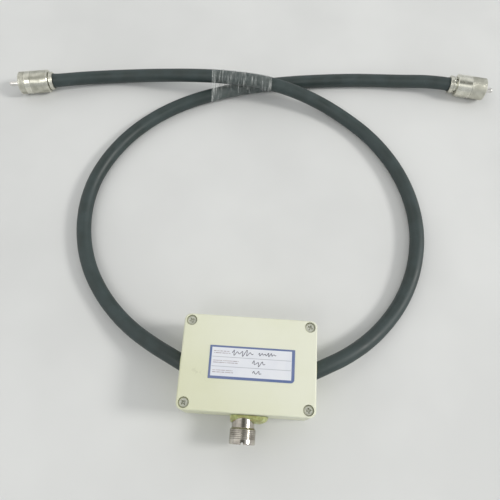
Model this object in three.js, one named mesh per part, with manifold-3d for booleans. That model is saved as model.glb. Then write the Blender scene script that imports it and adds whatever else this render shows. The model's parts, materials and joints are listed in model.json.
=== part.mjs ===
import * as THREE from "three";
import { ParametricGeometry } from "three/addons/geometries/ParametricGeometry.js";
import { mergeVertices } from "three/addons/utils/BufferGeometryUtils.js";
import Module from "manifold-3d";

// A two-way coaxial splitter: a small plastic junction box with one threaded socket and two plugged leads.
// Millimetres, +Z up. The origin is the middle of the box's underside. The socket faces -Y, lead 1 leaves
// the -X wall and lead 2 the +X wall, and the two leads cross on the +Y side.

const gap = 0.3; // clearance between neighbouring pieces

// Enclosure
const boxWidth = 83;
const boxDepth = 58;
const boxHeight = 33;
const boxCorner = 4;
const boxEdge = 1;
const sideWall = 3;
const floorThickness = 2.5;
const topThickness = 2.5;
const cavityCorner = 1.2;
const baseTop = 25.9;
const lidBottom = baseTop + gap;
const cavityTop = boxHeight - topThickness;

// Lid screws, their bosses and the seal under the lid
const screwPitchX = 74;
const screwPitchY = 49.5;
const bossRadius = 4;
const recessRadius = 3.3;
const recessFloor = 29.9;
const screwHeadRadius = 2.9;
const screwHeadHeight = 1.9;
const screwShankRadius = 1.45;
const screwShankLength = 16;
const screwHoleRadius = screwShankRadius + gap;
const crossLength = 3.4;
const crossWidth = 0.8;
const crossDepth = 1.1;
const grooveWidth = 1.5;
const grooveDepth = 1.2;
const sealWidth = grooveWidth - 2 * gap;

// Label on the lid
const labelWidth = 52;
const labelDepth = 19.9;
const labelThickness = 0.2;
const labelLift = 0.05;
const labelCentreX = 2;
const labelRoundCorner = 2;

// Threaded socket. Places along its axis are Y, and the socket faces -Y.
const socketX = -1;
const socketZ = 15.7;
const flangeSize = 25.4;
const flangeThickness = 1.8;
const wallInnerY = -boxDepth / 2 + sideWall;
const wallOuterY = -boxDepth / 2;
const flangeFrontY = wallInnerY + gap;
const flangeBackY = flangeFrontY + flangeThickness;
const neckRadius = 7;
const threadRadius = 7.95;
const threadStartY = -36.6;
const socketFaceY = -46;
const socketBoreRadius = 5.2;
const socketMouthRadius = 6.3;
const socketMouthDepth = 5;
const socketHoleRadius = 8.25;
const rimNotchWidth = 1.5;
const rimNotchDepth = 1.3;
const socketInsulatorRadius = socketBoreRadius - gap;
const socketInsulatorBackY = -20;
const contactRadius = 2.6;
const contactBoreRadius = 2.05;
const contactBoreDepth = 12;
const cupRadius = 1.6;
const cupBoreRadius = 1;
const cupBoreDepth = 3.5;
const cupBackY = -15.5;

// Bead of adhesive round the socket's neck
const beadInnerRadius = neckRadius + gap;
const beadPlugRadius = socketHoleRadius - gap;
const beadNearRadius = 8.5;
const beadFarRadius = 15.6;
const beadLowHeight = 1.6;
const beadHighHeight = 4.4;

// Leads: both run through a hole in a side wall and slope down to the table
const cableRadius = 5.15;
const cableSides = 10;
const cableSteps = 38;
const exitZ = 15;
const exitHoleRadius = cableRadius + 0.35;
const exitSealRadius = 6.7;
const exitSealHeight = 1.6;
const exitSealReach = 6;
const coreRadius = 3.6;
const coreLength = 7.7;
const conductorRadius = 1.1;
const braidRadius = 1.4;

// Each route runs from the jacket's end inside the box to the plug's back face.
const routes = {
  lead1: [
    [-33.5, -4.1, exitZ],
    [-41.5, 0, exitZ],
    [-49.5, 4.1, exitZ],
    [-62.0, 10.6, 13.2],
    [-77.2, 20.0, 9.3],
    [-91.6, 31.6, 6.3],
    [-104.3, 45.3, 5.3],
    [-114.7, 60.9, 5.2],
    [-122.0, 77.9, 5.2],
    [-126.2, 95.9, 5.2],
    [-127.2, 114.5, 5.2],
    [-124.7, 132.9, 5.2],
    [-118.6, 150.5, 5.2],
    [-109.6, 166.8, 5.2],
    [-98.1, 181.6, 5.2],
    [-84.4, 194.4, 5.3],
    [-69.1, 204.9, 5.7],
    [-52.5, 213.4, 6.2],
    [-35.1, 220.1, 6.5],
    [-17.4, 225.7, 6.6],
    [0.7, 230.4, 6.5],
    [19.0, 234.4, 6.0],
    [37.4, 237.6, 5.5],
    [55.9, 240.1, 5.2],
    [74.5, 241.8, 5.2],
    [93.1, 242.7, 5.3],
    [111.8, 242.7, 6.3],
    [129.0, 242.2, 8.0],
    [143.2, 241.1, 8.8],
    [149.4, 240.4, 8.8],
  ],
  lead2: [
    [33.5, -4.1, exitZ],
    [41.5, 0, exitZ],
    [49.5, 4.1, exitZ],
    [63.6, 12.0, 13.2],
    [78.6, 23.4, 9.3],
    [91.6, 36.9, 6.3],
    [102.4, 52.3, 5.3],
    [110.3, 69.4, 5.2],
    [115.1, 87.5, 5.2],
    [116.8, 106.2, 5.2],
    [115.1, 124.9, 5.2],
    [110.3, 143.0, 5.2],
    [102.7, 160.1, 5.2],
    [92.5, 175.9, 5.2],
    [80.0, 190.0, 5.2],
    [65.4, 201.9, 5.7],
    [49.3, 211.3, 7.8],
    [32.2, 217.8, 11.2],
    [14.2, 221.9, 14.9],
    [-4.3, 224.3, 17.4],
    [-23.0, 225.8, 17.9],
    [-41.7, 227.2, 17.1],
    [-60.4, 228.5, 15.0],
    [-78.9, 229.8, 12.0],
    [-97.3, 230.9, 8.8],
    [-115.9, 231.0, 6.3],
    [-134.5, 229.0, 5.9],
    [-151.0, 225.0, 7.6],
    [-164.5, 221.5, 8.8],
    [-172.2, 220.2, 8.8],
  ],
};

// Clear tape round the crossing, from tapeStartX to tapeEndX
const tapeStartX = -43.5;
const tapeEndX = 4.5;
const tapeThickness = 0.4;
const tapeInnerRadius = cableRadius + 0.6;
const tapeStations = 9;
const tapeSides = 20;

// Plugs. Places along a plug's axis are measured from its back face.
const plugCollarRadius = 7;
const plugCollarLength = 2.9;
const plugBarrelRadius = 6.3;
const plugFlangeRadius = 7.6;
const plugFlangeStart = 10.9;
const plugFlangeEnd = 15;
const plugNoseRadius = 6;
const plugNoseEnd = 19.5;
const plugNoseBore = 5;
const plugSeatStart = 9;
const plugCoreBore = coreRadius + gap;
const solderHoleRadius = 1.4;
const solderHolePlace = 5.4;
const plugInsulatorRadius = plugNoseBore - gap;
const plugInsulatorEnd = 18.9;
const pinRadius = 2;
const pinTipRadius = 0.8;
const plugLength = 35.5;
const ringOuterRadius = 8.75;
const ringBoreRadius = 7.95;
const ringLipBore = plugBarrelRadius + gap;
const ringLipThickness = 2.6;
const ringLength = 23.2;
const ringChamfer = 0.6;
const ringPlace = { lead1: 5.4, lead2: plugCollarLength + gap };

const roundSides = 28;
const smallSides = 16;

const wasm = await Module();
wasm.setup();

const materials = {
  creamPlastic: { color: 0xdedfca, roughness: 0.45, metalness: 0 },
  rubber: { color: 0x3a3a38, roughness: 0.8, metalness: 0 },
  paper: { color: 0xe6e8ee, roughness: 0.6, metalness: 0 },
  screwSteel: { color: 0xa9aaa0, roughness: 0.35, metalness: 1 },
  nickel: { color: 0xc4c3b4, roughness: 0.3, metalness: 1 },
  brass: { color: 0xc9a96a, roughness: 0.4, metalness: 1 },
  dielectric: { color: 0xe9e7df, roughness: 0.5, metalness: 0 },
  adhesive: { color: 0x9a9960, roughness: 0.35, metalness: 0 },
  solder: { color: 0xb8bbbd, roughness: 0.3, metalness: 1 },
  copper: { color: 0xb87349, roughness: 0.4, metalness: 1 },
  braid: { color: 0xb9b4a6, roughness: 0.5, metalness: 1 },
  cableJacket: { color: 0x272d2f, roughness: 0.5, metalness: 0 },
  clearTape: { color: 0xd6dad6, roughness: 0.15, metalness: 0 },
};

// A closed geometry as a manifold solid, with its faces turned out
function solidOf(geometry) {
  const bare = geometry.clone();
  bare.deleteAttribute("normal");
  bare.deleteAttribute("uv");
  const merged = mergeVertices(bare, 1e-4);
  const vertProperties = merged.attributes.position.array;
  const triVerts = new Uint32Array(merged.index.array);
  const made = new wasm.Manifold(new wasm.Mesh({ numProp: 3, vertProperties, triVerts }));
  if (made.volume() > 0) return made;
  return new wasm.Manifold(new wasm.Mesh({ numProp: 3, vertProperties, triVerts: triVerts.reverse() }));
}

// A manifold solid as a three.js geometry
function geometryOf(solid) {
  const mesh = solid.getMesh();
  const geometry = new THREE.BufferGeometry();
  geometry.setAttribute("position", new THREE.BufferAttribute(mesh.vertProperties, 3));
  geometry.setIndex(new THREE.BufferAttribute(mesh.triVerts, 1));
  geometry.computeVertexNormals();
  return geometry;
}

function join(...solids) {
  return solids.reduce((whole, part) => whole.add(part));
}

function cut(solid, ...tools) {
  return tools.reduce((left, tool) => left.subtract(tool), solid);
}

// The outline of a rectangle with round corners, centred on the origin
function roundedOutline(width, depth, radius) {
  const x = width / 2;
  const y = depth / 2;
  const outline = new THREE.Shape();
  outline.moveTo(-x + radius, -y);
  outline.lineTo(x - radius, -y);
  outline.absarc(x - radius, -y + radius, radius, -Math.PI / 2, 0);
  outline.lineTo(x, y - radius);
  outline.absarc(x - radius, y - radius, radius, 0, Math.PI / 2);
  outline.lineTo(-x + radius, y);
  outline.absarc(-x + radius, y - radius, radius, Math.PI / 2, Math.PI);
  outline.lineTo(-x, -y + radius);
  outline.absarc(-x + radius, -y + radius, radius, Math.PI, 1.5 * Math.PI);
  return outline;
}

function slab(outline, bottom, top) {
  const settings = { depth: top - bottom, bevelEnabled: false, curveSegments: 4 };
  return solidOf(new THREE.ExtrudeGeometry(outline, settings).translate(0, 0, bottom));
}

function block(low, high) {
  const size = high.map((value, i) => value - low[i]);
  const centre = high.map((value, i) => (value + low[i]) / 2);
  return solidOf(new THREE.BoxGeometry(...size).translate(...centre));
}

function uprightRod(x, y, radius, bottom, top, sides = smallSides) {
  const rod = new THREE.CylinderGeometry(radius, radius, top - bottom, sides);
  return solidOf(rod.rotateX(Math.PI / 2).translate(x, y, (bottom + top) / 2));
}

// A profile of [radius, place] points turned about an axis that starts at origin and runs along direction
function turned(profile, origin, direction, sides = roundSides) {
  const points = profile.map(([radius, place]) => new THREE.Vector2(radius, place));
  const geometry = new THREE.LatheGeometry(points, sides);
  const turn = new THREE.Quaternion().setFromUnitVectors(new THREE.Vector3(0, 1, 0), direction);
  return solidOf(geometry.applyQuaternion(turn).translate(origin.x, origin.y, origin.z));
}

// A round tube of the given radius along a smooth curve through the points
function tube(points, radius, sides, steps) {
  const corners = [];
  for (let i = 0; i < sides; i++) {
    const angle = (2 * Math.PI * i) / sides;
    corners.push(new THREE.Vector2(radius * Math.cos(angle), radius * Math.sin(angle)));
  }
  const settings = { steps, bevelEnabled: false, extrudePath: curveThrough(points) };
  return solidOf(new THREE.ExtrudeGeometry(new THREE.Shape(corners), settings));
}

function curveThrough(points) {
  const vectors = points.map((point) => new THREE.Vector3(...point));
  return new THREE.CatmullRomCurve3(vectors, false, "catmullrom", 0.5);
}

function screwPlaces() {
  const x = screwPitchX / 2;
  const y = screwPitchY / 2;
  return [
    [-x, -y],
    [x, -y],
    [x, y],
    [-x, y],
  ];
}

// The closed box's outer form with softened top and bottom edges
function boxForm() {
  const outline = roundedOutline(boxWidth - 2 * boxEdge, boxDepth - 2 * boxEdge, boxCorner - boxEdge);
  const settings = {
    depth: boxHeight - 2 * boxEdge,
    bevelEnabled: true,
    bevelThickness: boxEdge,
    bevelSize: boxEdge,
    bevelSegments: 4,
    curveSegments: 6,
  };
  return solidOf(new THREE.ExtrudeGeometry(outline, settings).translate(0, 0, boxEdge));
}

function cavityForm() {
  const outline = roundedOutline(boxWidth - 2 * sideWall, boxDepth - 2 * sideWall, cavityCorner);
  return slab(outline, floorThickness, cavityTop);
}

function exitOf(lead) {
  return new THREE.Vector3(...routes[lead][1]);
}

// The direction in which a lead leaves its wall
function exitDirection(lead) {
  const start = new THREE.Vector3(...routes[lead][0]);
  return exitOf(lead).sub(start).normalize();
}

function exitHole(lead) {
  const reach = 12;
  return turned(
    [
      [0, -reach],
      [exitHoleRadius, -reach],
      [exitHoleRadius, reach],
      [0, reach],
    ],
    exitOf(lead),
    exitDirection(lead),
  );
}

const socketAxis = new THREE.Vector3(0, -1, 0);

// A profile of [radius, Y] points turned about the socket's axis
function turnedOnSocket(profile, sides = roundSides) {
  const places = profile.map(([radius, y]) => [radius, -y]);
  return turned(places, new THREE.Vector3(socketX, 0, socketZ), socketAxis, sides);
}

function makeBaseShell() {
  const lower = boxForm().intersect(block([-60, -40, -1], [60, 40, baseTop]));
  const bosses = screwPlaces().map(([x, y]) => uprightRod(x, y, bossRadius, 1, baseTop));
  const inOutline = join(...bosses).intersect(lower);
  const screwHoles = screwPlaces().map(([x, y]) =>
    uprightRod(x, y, screwHoleRadius, recessFloor - screwShankLength - 1, baseTop + 1),
  );
  const socketHole = turnedOnSocket([
    [0, wallInnerY + 1],
    [socketHoleRadius, wallInnerY + 1],
    [socketHoleRadius, wallOuterY - 1],
    [0, wallOuterY - 1],
  ]);
  const shell = join(cut(lower, cavityForm()), inOutline);
  return cut(shell, ...screwHoles, socketHole, exitHole("lead1"), exitHole("lead2"));
}

function grooveRing(inset, width, bottom, top) {
  const outer = roundedOutline(boxWidth - 2 * inset, boxDepth - 2 * inset, boxCorner - inset);
  const inside = inset + width;
  const inner = roundedOutline(boxWidth - 2 * inside, boxDepth - 2 * inside, boxCorner - inside);
  return cut(slab(outer, bottom, top), slab(inner, bottom - 1, top + 1));
}

function makeLid() {
  const upper = boxForm().intersect(block([-60, -40, lidBottom], [60, 40, boxHeight + 1]));
  const bosses = screwPlaces().map(([x, y]) => uprightRod(x, y, bossRadius, lidBottom, cavityTop + 1));
  const inOutline = join(...bosses).intersect(upper);
  const screwHoles = screwPlaces().map(([x, y]) =>
    uprightRod(x, y, screwHoleRadius, lidBottom - 1, boxHeight + 1),
  );
  const recesses = screwPlaces().map(([x, y]) =>
    uprightRod(x, y, recessRadius, recessFloor, boxHeight + 1, 20),
  );
  const inset = (sideWall - grooveWidth) / 2;
  const groove = grooveRing(inset, grooveWidth, lidBottom - 1, lidBottom + grooveDepth);
  const shell = join(cut(upper, cavityForm()), inOutline);
  return cut(shell, ...screwHoles, ...recesses, groove);
}

function makeLidSeal() {
  const inset = (sideWall - grooveWidth) / 2 + gap;
  return grooveRing(inset, sealWidth, lidBottom, lidBottom + grooveDepth - gap);
}

function makeLabel() {
  const x = labelWidth / 2;
  const y = labelDepth / 2;
  const outline = new THREE.Shape();
  outline.moveTo(-x, -y);
  outline.lineTo(x - labelRoundCorner, -y);
  outline.absarc(x - labelRoundCorner, -y + labelRoundCorner, labelRoundCorner, -Math.PI / 2, 0);
  outline.lineTo(x, y);
  outline.lineTo(-x, y);
  const bottom = boxHeight + labelLift;
  return slab(outline, bottom, bottom + labelThickness).translate([labelCentreX, 0, 0]);
}

function makeLidScrew([x, y]) {
  const headBottom = recessFloor + gap;
  const headTop = headBottom + screwHeadHeight;
  const up = new THREE.Vector3(0, 0, 1);
  const form = turned(
    [
      [0, headBottom - screwShankLength],
      [screwShankRadius, headBottom - screwShankLength + 1],
      [screwShankRadius, headBottom],
      [screwHeadRadius, headBottom],
      [screwHeadRadius, headTop - 0.5],
      [screwHeadRadius - 0.6, headTop],
      [0, headTop],
    ],
    new THREE.Vector3(x, y, 0),
    up,
    20,
  );
  const long = crossLength / 2;
  const wide = crossWidth / 2;
  const bottom = headTop - crossDepth;
  const barX = block([x - long, y - wide, bottom], [x + long, y + wide, headTop + 1]);
  const barY = block([x - wide, y - long, bottom], [x + wide, y + long, headTop + 1]);
  return cut(form, barX, barY);
}

function makeSocketShell() {
  const barrel = turnedOnSocket([
    [socketBoreRadius, flangeBackY],
    [neckRadius, flangeBackY],
    [neckRadius, threadStartY],
    [threadRadius, threadStartY - 0.6],
    [threadRadius, socketFaceY + 0.5],
    [threadRadius - 0.5, socketFaceY],
    [socketMouthRadius, socketFaceY],
    [socketMouthRadius, socketFaceY + socketMouthDepth],
    [socketBoreRadius, socketFaceY + socketMouthDepth],
    [socketBoreRadius, flangeBackY],
  ]);
  const half = flangeSize / 2;
  const plate = block(
    [socketX - half, flangeFrontY, socketZ - half],
    [socketX + half, flangeBackY, socketZ + half],
  );
  const bore = turnedOnSocket([
    [0, flangeBackY + 1],
    [socketBoreRadius, flangeBackY + 1],
    [socketBoreRadius, flangeFrontY - 1],
    [0, flangeFrontY - 1],
  ]);
  const wide = rimNotchWidth / 2;
  const reach = threadRadius + 1;
  const notchBack = socketFaceY + rimNotchDepth;
  const notchX = block(
    [socketX - reach, socketFaceY - 1, socketZ - wide],
    [socketX + reach, notchBack, socketZ + wide],
  );
  const notchZ = block(
    [socketX - wide, socketFaceY - 1, socketZ - reach],
    [socketX + wide, notchBack, socketZ + reach],
  );
  return cut(join(barrel, plate), bore, notchX, notchZ);
}

function makeSocketInsulator() {
  const frontY = socketFaceY + socketMouthDepth;
  return turnedOnSocket(
    [
      [contactRadius + gap, socketInsulatorBackY],
      [socketInsulatorRadius, socketInsulatorBackY],
      [socketInsulatorRadius, frontY],
      [contactRadius + gap, frontY],
      [contactRadius + gap, socketInsulatorBackY],
    ],
    20,
  );
}

function makeSocketContact() {
  const frontY = socketFaceY + socketMouthDepth;
  return turnedOnSocket(
    [
      [0, cupBackY - cupBoreDepth],
      [cupBoreRadius, cupBackY - cupBoreDepth],
      [cupBoreRadius, cupBackY],
      [cupRadius, cupBackY],
      [cupRadius, socketInsulatorBackY],
      [contactRadius, socketInsulatorBackY],
      [contactRadius, frontY],
      [contactBoreRadius, frontY],
      [contactBoreRadius, frontY + contactBoreDepth],
      [0, frontY + contactBoreDepth],
    ],
    smallSides,
  );
}

// The bead fills the hole round the neck and spreads over the wall, further towards +X than elsewhere. It is
// highest on the neck's two sides.
function makeSocketSealant() {
  const startY = wallInnerY - gap;
  const faceY = wallOuterY - gap;
  const surface = (u, v, target) => {
    const angle = 2 * Math.PI * (u % 1);
    const lean = Math.pow(0.5 + 0.5 * Math.cos(angle), 3);
    const spread = beadNearRadius + (beadFarRadius - beadNearRadius) * lean - beadInnerRadius;
    const height = beadLowHeight + (beadHighHeight - beadLowHeight) * Math.cos(angle) ** 2;
    const profile = [
      [0, startY],
      [beadPlugRadius - beadInnerRadius, startY],
      [beadPlugRadius - beadInnerRadius, faceY],
      [spread, faceY],
      [0.8 * spread, faceY - 0.6 * height],
      [0.4 * spread, faceY - 0.93 * height],
      [0, faceY - height],
    ];
    const [out, y] = profile[Math.round(v * profile.length) % profile.length];
    const radius = beadInnerRadius + out;
    target.set(socketX + radius * Math.cos(angle), y, socketZ + radius * Math.sin(angle));
  };
  return solidOf(new ParametricGeometry(surface, 24, 7));
}

// A ring of adhesive round the cable, flat against the outer wall, which the cable crosses at an angle
function makeExitSeal(lead) {
  const collar = turned(
    [
      [exitHoleRadius, -exitSealReach],
      [exitSealRadius, -exitSealReach],
      [exitSealRadius, exitSealReach],
      [exitHoleRadius, exitSealReach],
      [exitHoleRadius, -exitSealReach],
    ],
    exitOf(lead),
    exitDirection(lead),
    24,
  );
  const inside = boxWidth / 2 + gap;
  const outside = inside + exitSealHeight;
  const around = block([-outside, -30, 0], [outside, 30, boxHeight]);
  return cut(collar.intersect(around), block([-inside, -40, -1], [inside, 40, boxHeight + 1]));
}

function makeDielectric(lead) {
  const start = new THREE.Vector3(...routes[lead][0]);
  const inward = exitDirection(lead).negate();
  const profile = [
    [0, gap],
    [coreRadius, gap],
    [coreRadius, coreLength],
    [0, coreLength],
  ];
  return turned(profile, start, inward, smallSides);
}

// The bare inner conductor bends from the dielectric's end to the socket's solder cup.
function makeConductor(lead) {
  const side = Math.sign(routes[lead][0][0]);
  const end = new THREE.Vector3(...routes[lead][0]);
  end.addScaledVector(exitDirection(lead), -coreLength - gap);
  const bend = [
    [end.x, end.y, end.z],
    [side * 18, -11.6, 15.2],
    [socketX + side * 9.5, -12.9, 15.6],
    [socketX + side * 2.7, -13, socketZ],
  ];
  return tube(bend, conductorRadius, 8, 8);
}

// The braid is gathered into a tail that runs to the tag beside the flange.
function makeBraidTail(lead) {
  const side = Math.sign(routes[lead][0][0]);
  const bend = [
    [side * 31.6, -5.4, 20.6],
    [side * 26, -10.5, 23.3],
    [side * 19, -17, 25],
    [socketX + side * 11, -20.4, 25.6],
    [socketX + side * 4, -20.9, 25.6],
  ];
  return tube(bend, braidRadius, 8, 10);
}

function makeGroundTag() {
  const nearY = flangeBackY + gap;
  return block([socketX - 11, nearY, 24.2], [socketX + 11, nearY + 0.8, 27.2]);
}

function makeSolderJoint() {
  const radius = 2.1;
  const lump = new THREE.SphereGeometry(radius, 12, 8);
  lump.scale(0.55, 1, 1);
  return solidOf(lump.translate(socketX, cupBackY + gap + radius, socketZ));
}

function makeCable(lead) {
  return tube(routes[lead], cableRadius, cableSides, cableSteps);
}

// Where a curve passes the plane of the given X
function pointAtX(curve, x) {
  const points = curve.getPoints(600);
  for (let i = 1; i < points.length; i++) {
    const [a, b] = [points[i - 1], points[i]];
    if (b.y > 150 && (a.x - x) * (b.x - x) <= 0) return a.clone().lerp(b, (x - a.x) / (b.x - a.x));
  }
  throw new Error("no point at X " + x);
}

// A sleeve of film pulled tight round both cables: at each station its section is the outline of two discs.
function makeTapeWrap() {
  const [lower, upper] = ["lead1", "lead2"].map((lead) => curveThrough(routes[lead]));
  const loop = 2 * tapeStations;
  const surface = (u, v, target) => {
    const place = Math.round(u * loop) % loop;
    const outside = place < tapeStations;
    const station = outside ? place : loop - 1 - place;
    const x = tapeStartX + ((tapeEndX - tapeStartX) * station) / (tapeStations - 1);
    const [low, high] = [pointAtX(lower, x), pointAtX(upper, x)];
    const along = new THREE.Vector2(high.y - low.y, high.z - low.z).normalize();
    const side = (Math.round(v * tapeSides) % tapeSides) + 0.5;
    const angle = (2 * Math.PI * side) / tapeSides;
    const [c, s] = [Math.cos(angle), Math.sin(angle)];
    const centre = c > 0 ? high : low;
    const radius = tapeInnerRadius + (outside ? tapeThickness : 0);
    target.set(
      x,
      centre.y + radius * (c * along.x - s * along.y),
      centre.z + radius * (c * along.y + s * along.x),
    );
  };
  return solidOf(new ParametricGeometry(surface, loop, tapeSides));
}

function plugDirection(lead) {
  const [before, end] = routes[lead].slice(-2).map((point) => new THREE.Vector3(...point));
  return end.sub(before).normalize();
}

function plugOrigin(lead) {
  const end = new THREE.Vector3(...routes[lead].at(-1));
  return end.addScaledVector(plugDirection(lead), gap);
}

function turnedOnPlug(lead, profile, sides = roundSides) {
  return turned(profile, plugOrigin(lead), plugDirection(lead), sides);
}

function makePlugBody(lead) {
  const form = turnedOnPlug(lead, [
    [plugCoreBore, 0],
    [plugCollarRadius - 0.4, 0],
    [plugCollarRadius, 0.4],
    [plugCollarRadius, plugCollarLength],
    [plugBarrelRadius, plugCollarLength],
    [plugBarrelRadius, plugFlangeStart],
    [plugFlangeRadius, plugFlangeStart],
    [plugFlangeRadius, plugFlangeEnd],
    [plugNoseRadius, plugFlangeEnd],
    [plugNoseRadius, plugNoseEnd],
    [plugNoseBore, plugNoseEnd],
    [plugNoseBore, plugSeatStart],
    [plugCoreBore, plugSeatStart],
    [plugCoreBore, 0],
  ]);
  const rod = new THREE.CylinderGeometry(solderHoleRadius, solderHoleRadius, 20, 12);
  const direction = plugDirection(lead);
  const across = new THREE.Vector3(0, 0, 1).cross(direction);
  const place = plugOrigin(lead).addScaledVector(direction, solderHolePlace);
  const drills = [new THREE.Vector3(0, 0, 1), across].map((axis) => {
    const turn = new THREE.Quaternion().setFromUnitVectors(new THREE.Vector3(0, 1, 0), axis);
    return solidOf(rod.clone().applyQuaternion(turn).translate(place.x, place.y, place.z));
  });
  return cut(form, ...drills);
}

function makePlugCore(lead) {
  const profile = [
    [0, gap],
    [coreRadius, gap],
    [coreRadius, plugSeatStart - gap],
    [0, plugSeatStart - gap],
  ];
  return turnedOnPlug(lead, profile, smallSides);
}

function makePlugInsulator(lead) {
  const bore = pinRadius + gap;
  const start = plugSeatStart + gap;
  const profile = [
    [bore, start],
    [plugInsulatorRadius, start],
    [plugInsulatorRadius, plugInsulatorEnd],
    [bore, plugInsulatorEnd],
    [bore, start],
  ];
  return turnedOnPlug(lead, profile, 20);
}

function makePlugPin(lead) {
  const profile = [
    [0, plugSeatStart + gap],
    [pinRadius, plugSeatStart + gap],
    [pinRadius, plugLength - 1.6],
    [pinRadius * 0.85, plugLength - 0.6],
    [pinRadius * 0.6, plugLength],
    [pinTipRadius, plugLength],
    [pinTipRadius, plugLength - 1.5],
    [0, plugLength - 1.5],
  ];
  return turnedOnPlug(lead, profile, smallSides);
}

function makePlugRing(lead) {
  const start = ringPlace[lead];
  const end = start + ringLength;
  const profile = [
    [ringLipBore, start],
    [ringOuterRadius - ringChamfer, start],
    [ringOuterRadius, start + ringChamfer],
    [ringOuterRadius, end - ringChamfer],
    [ringOuterRadius - ringChamfer, end],
    [ringBoreRadius, end],
    [ringBoreRadius, start + ringLipThickness],
    [ringLipBore, start + ringLipThickness],
    [ringLipBore, start],
  ];
  return turnedOnPlug(lead, profile);
}

const object = new THREE.Group();

function addPiece(parent, name, solid, material) {
  const mesh = new THREE.Mesh(geometryOf(solid), new THREE.MeshStandardMaterial(materials[material]));
  mesh.name = name;
  parent.add(mesh);
}

const enclosure = new THREE.Group();
addPiece(enclosure, "base_shell", makeBaseShell(), "creamPlastic");
addPiece(enclosure, "lid", makeLid(), "creamPlastic");
addPiece(enclosure, "lid_seal", makeLidSeal(), "rubber");
addPiece(enclosure, "label", makeLabel(), "paper");
screwPlaces().forEach((place, i) => {
  addPiece(enclosure, "lid_screw_" + (i + 1), makeLidScrew(place), "screwSteel");
});
object.add(enclosure);

const socket = new THREE.Group();
addPiece(socket, "socket_shell", makeSocketShell(), "nickel");
addPiece(socket, "socket_insulator", makeSocketInsulator(), "dielectric");
addPiece(socket, "socket_contact", makeSocketContact(), "brass");
addPiece(socket, "socket_sealant", makeSocketSealant(), "adhesive");
addPiece(socket, "ground_tag", makeGroundTag(), "brass");
addPiece(socket, "solder_joint", makeSolderJoint(), "solder");
object.add(socket);

for (const lead of Object.keys(routes)) {
  const group = new THREE.Group();
  addPiece(group, lead + "_cable", makeCable(lead), "cableJacket");
  addPiece(group, lead + "_exit_seal", makeExitSeal(lead), "adhesive");
  addPiece(group, lead + "_dielectric", makeDielectric(lead), "dielectric");
  addPiece(group, lead + "_conductor", makeConductor(lead), "copper");
  addPiece(group, lead + "_braid_tail", makeBraidTail(lead), "braid");
  addPiece(group, lead + "_plug_body", makePlugBody(lead), "nickel");
  addPiece(group, lead + "_plug_core", makePlugCore(lead), "dielectric");
  addPiece(group, lead + "_plug_insulator", makePlugInsulator(lead), "dielectric");
  addPiece(group, lead + "_plug_pin", makePlugPin(lead), "nickel");
  addPiece(group, lead + "_plug_ring", makePlugRing(lead), "nickel");
  object.add(group);
}

addPiece(object, "tape_wrap", makeTapeWrap(), "clearTape");

export default object;
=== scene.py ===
import json
import math

import bmesh
import bpy
import numpy as np
from mathutils import Matrix, Vector


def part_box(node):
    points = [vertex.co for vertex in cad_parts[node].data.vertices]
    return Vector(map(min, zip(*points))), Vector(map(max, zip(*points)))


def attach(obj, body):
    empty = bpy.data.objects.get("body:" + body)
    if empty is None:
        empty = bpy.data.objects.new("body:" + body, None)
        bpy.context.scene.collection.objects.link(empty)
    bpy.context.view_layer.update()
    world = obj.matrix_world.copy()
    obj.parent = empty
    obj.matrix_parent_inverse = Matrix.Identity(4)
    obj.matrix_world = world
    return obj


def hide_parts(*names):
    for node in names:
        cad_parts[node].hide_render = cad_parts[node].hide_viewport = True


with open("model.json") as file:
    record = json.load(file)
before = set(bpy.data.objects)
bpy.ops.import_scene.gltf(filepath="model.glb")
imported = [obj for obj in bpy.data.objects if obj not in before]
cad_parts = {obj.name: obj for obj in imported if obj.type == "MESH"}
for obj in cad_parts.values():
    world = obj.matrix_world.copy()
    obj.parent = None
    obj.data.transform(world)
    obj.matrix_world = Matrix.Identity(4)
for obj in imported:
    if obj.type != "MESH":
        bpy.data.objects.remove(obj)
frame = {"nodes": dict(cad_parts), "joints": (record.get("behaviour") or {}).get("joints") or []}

# A two-way coaxial splitter: a small cream junction box with a threaded socket, and two thick leads that
# sweep round, cross under clear tape and end in plugs. Lengths are in metres, and mm is a millimetre.
mm = 0.001
turn = 2 * math.pi
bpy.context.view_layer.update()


# ---- camera

cameraSet = {
    "place": (-0.31 * mm, -45.71 * mm, 340.37 * mm),
    "turned": 1.664,  # degrees to the left, seen from above
    "tilted": 21.265,  # degrees up from straight down
    "rolled": 2.081,
    "lens": 36,
    "sensor": 36,
}


def makeCamera():
    data = bpy.data.cameras.new("camera")
    data.lens = cameraSet["lens"]
    data.sensor_width = cameraSet["sensor"]
    data.clip_start = 0.02
    camera = bpy.data.objects.new("camera", data)
    facing = Matrix.Rotation(math.radians(cameraSet["turned"]), 4, "Z")
    facing = facing @ Matrix.Rotation(math.radians(cameraSet["tilted"]), 4, "X")
    facing = facing @ Matrix.Rotation(math.radians(cameraSet["rolled"]), 4, "Z")
    camera.matrix_world = Matrix.Translation(cameraSet["place"]) @ facing
    bpy.context.scene.collection.objects.link(camera)
    bpy.context.scene.camera = camera


makeCamera()
print("camera set")


# ---- grids, profiles and paths

def unit(vectors):
    return vectors / np.linalg.norm(vectors, axis=-1, keepdims=True)


def boxOf(node):
    low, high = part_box(node)
    return np.array(low), np.array(high)


def middleOf(node):
    low, high = boxOf(node)
    return (low + high) / 2


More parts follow.
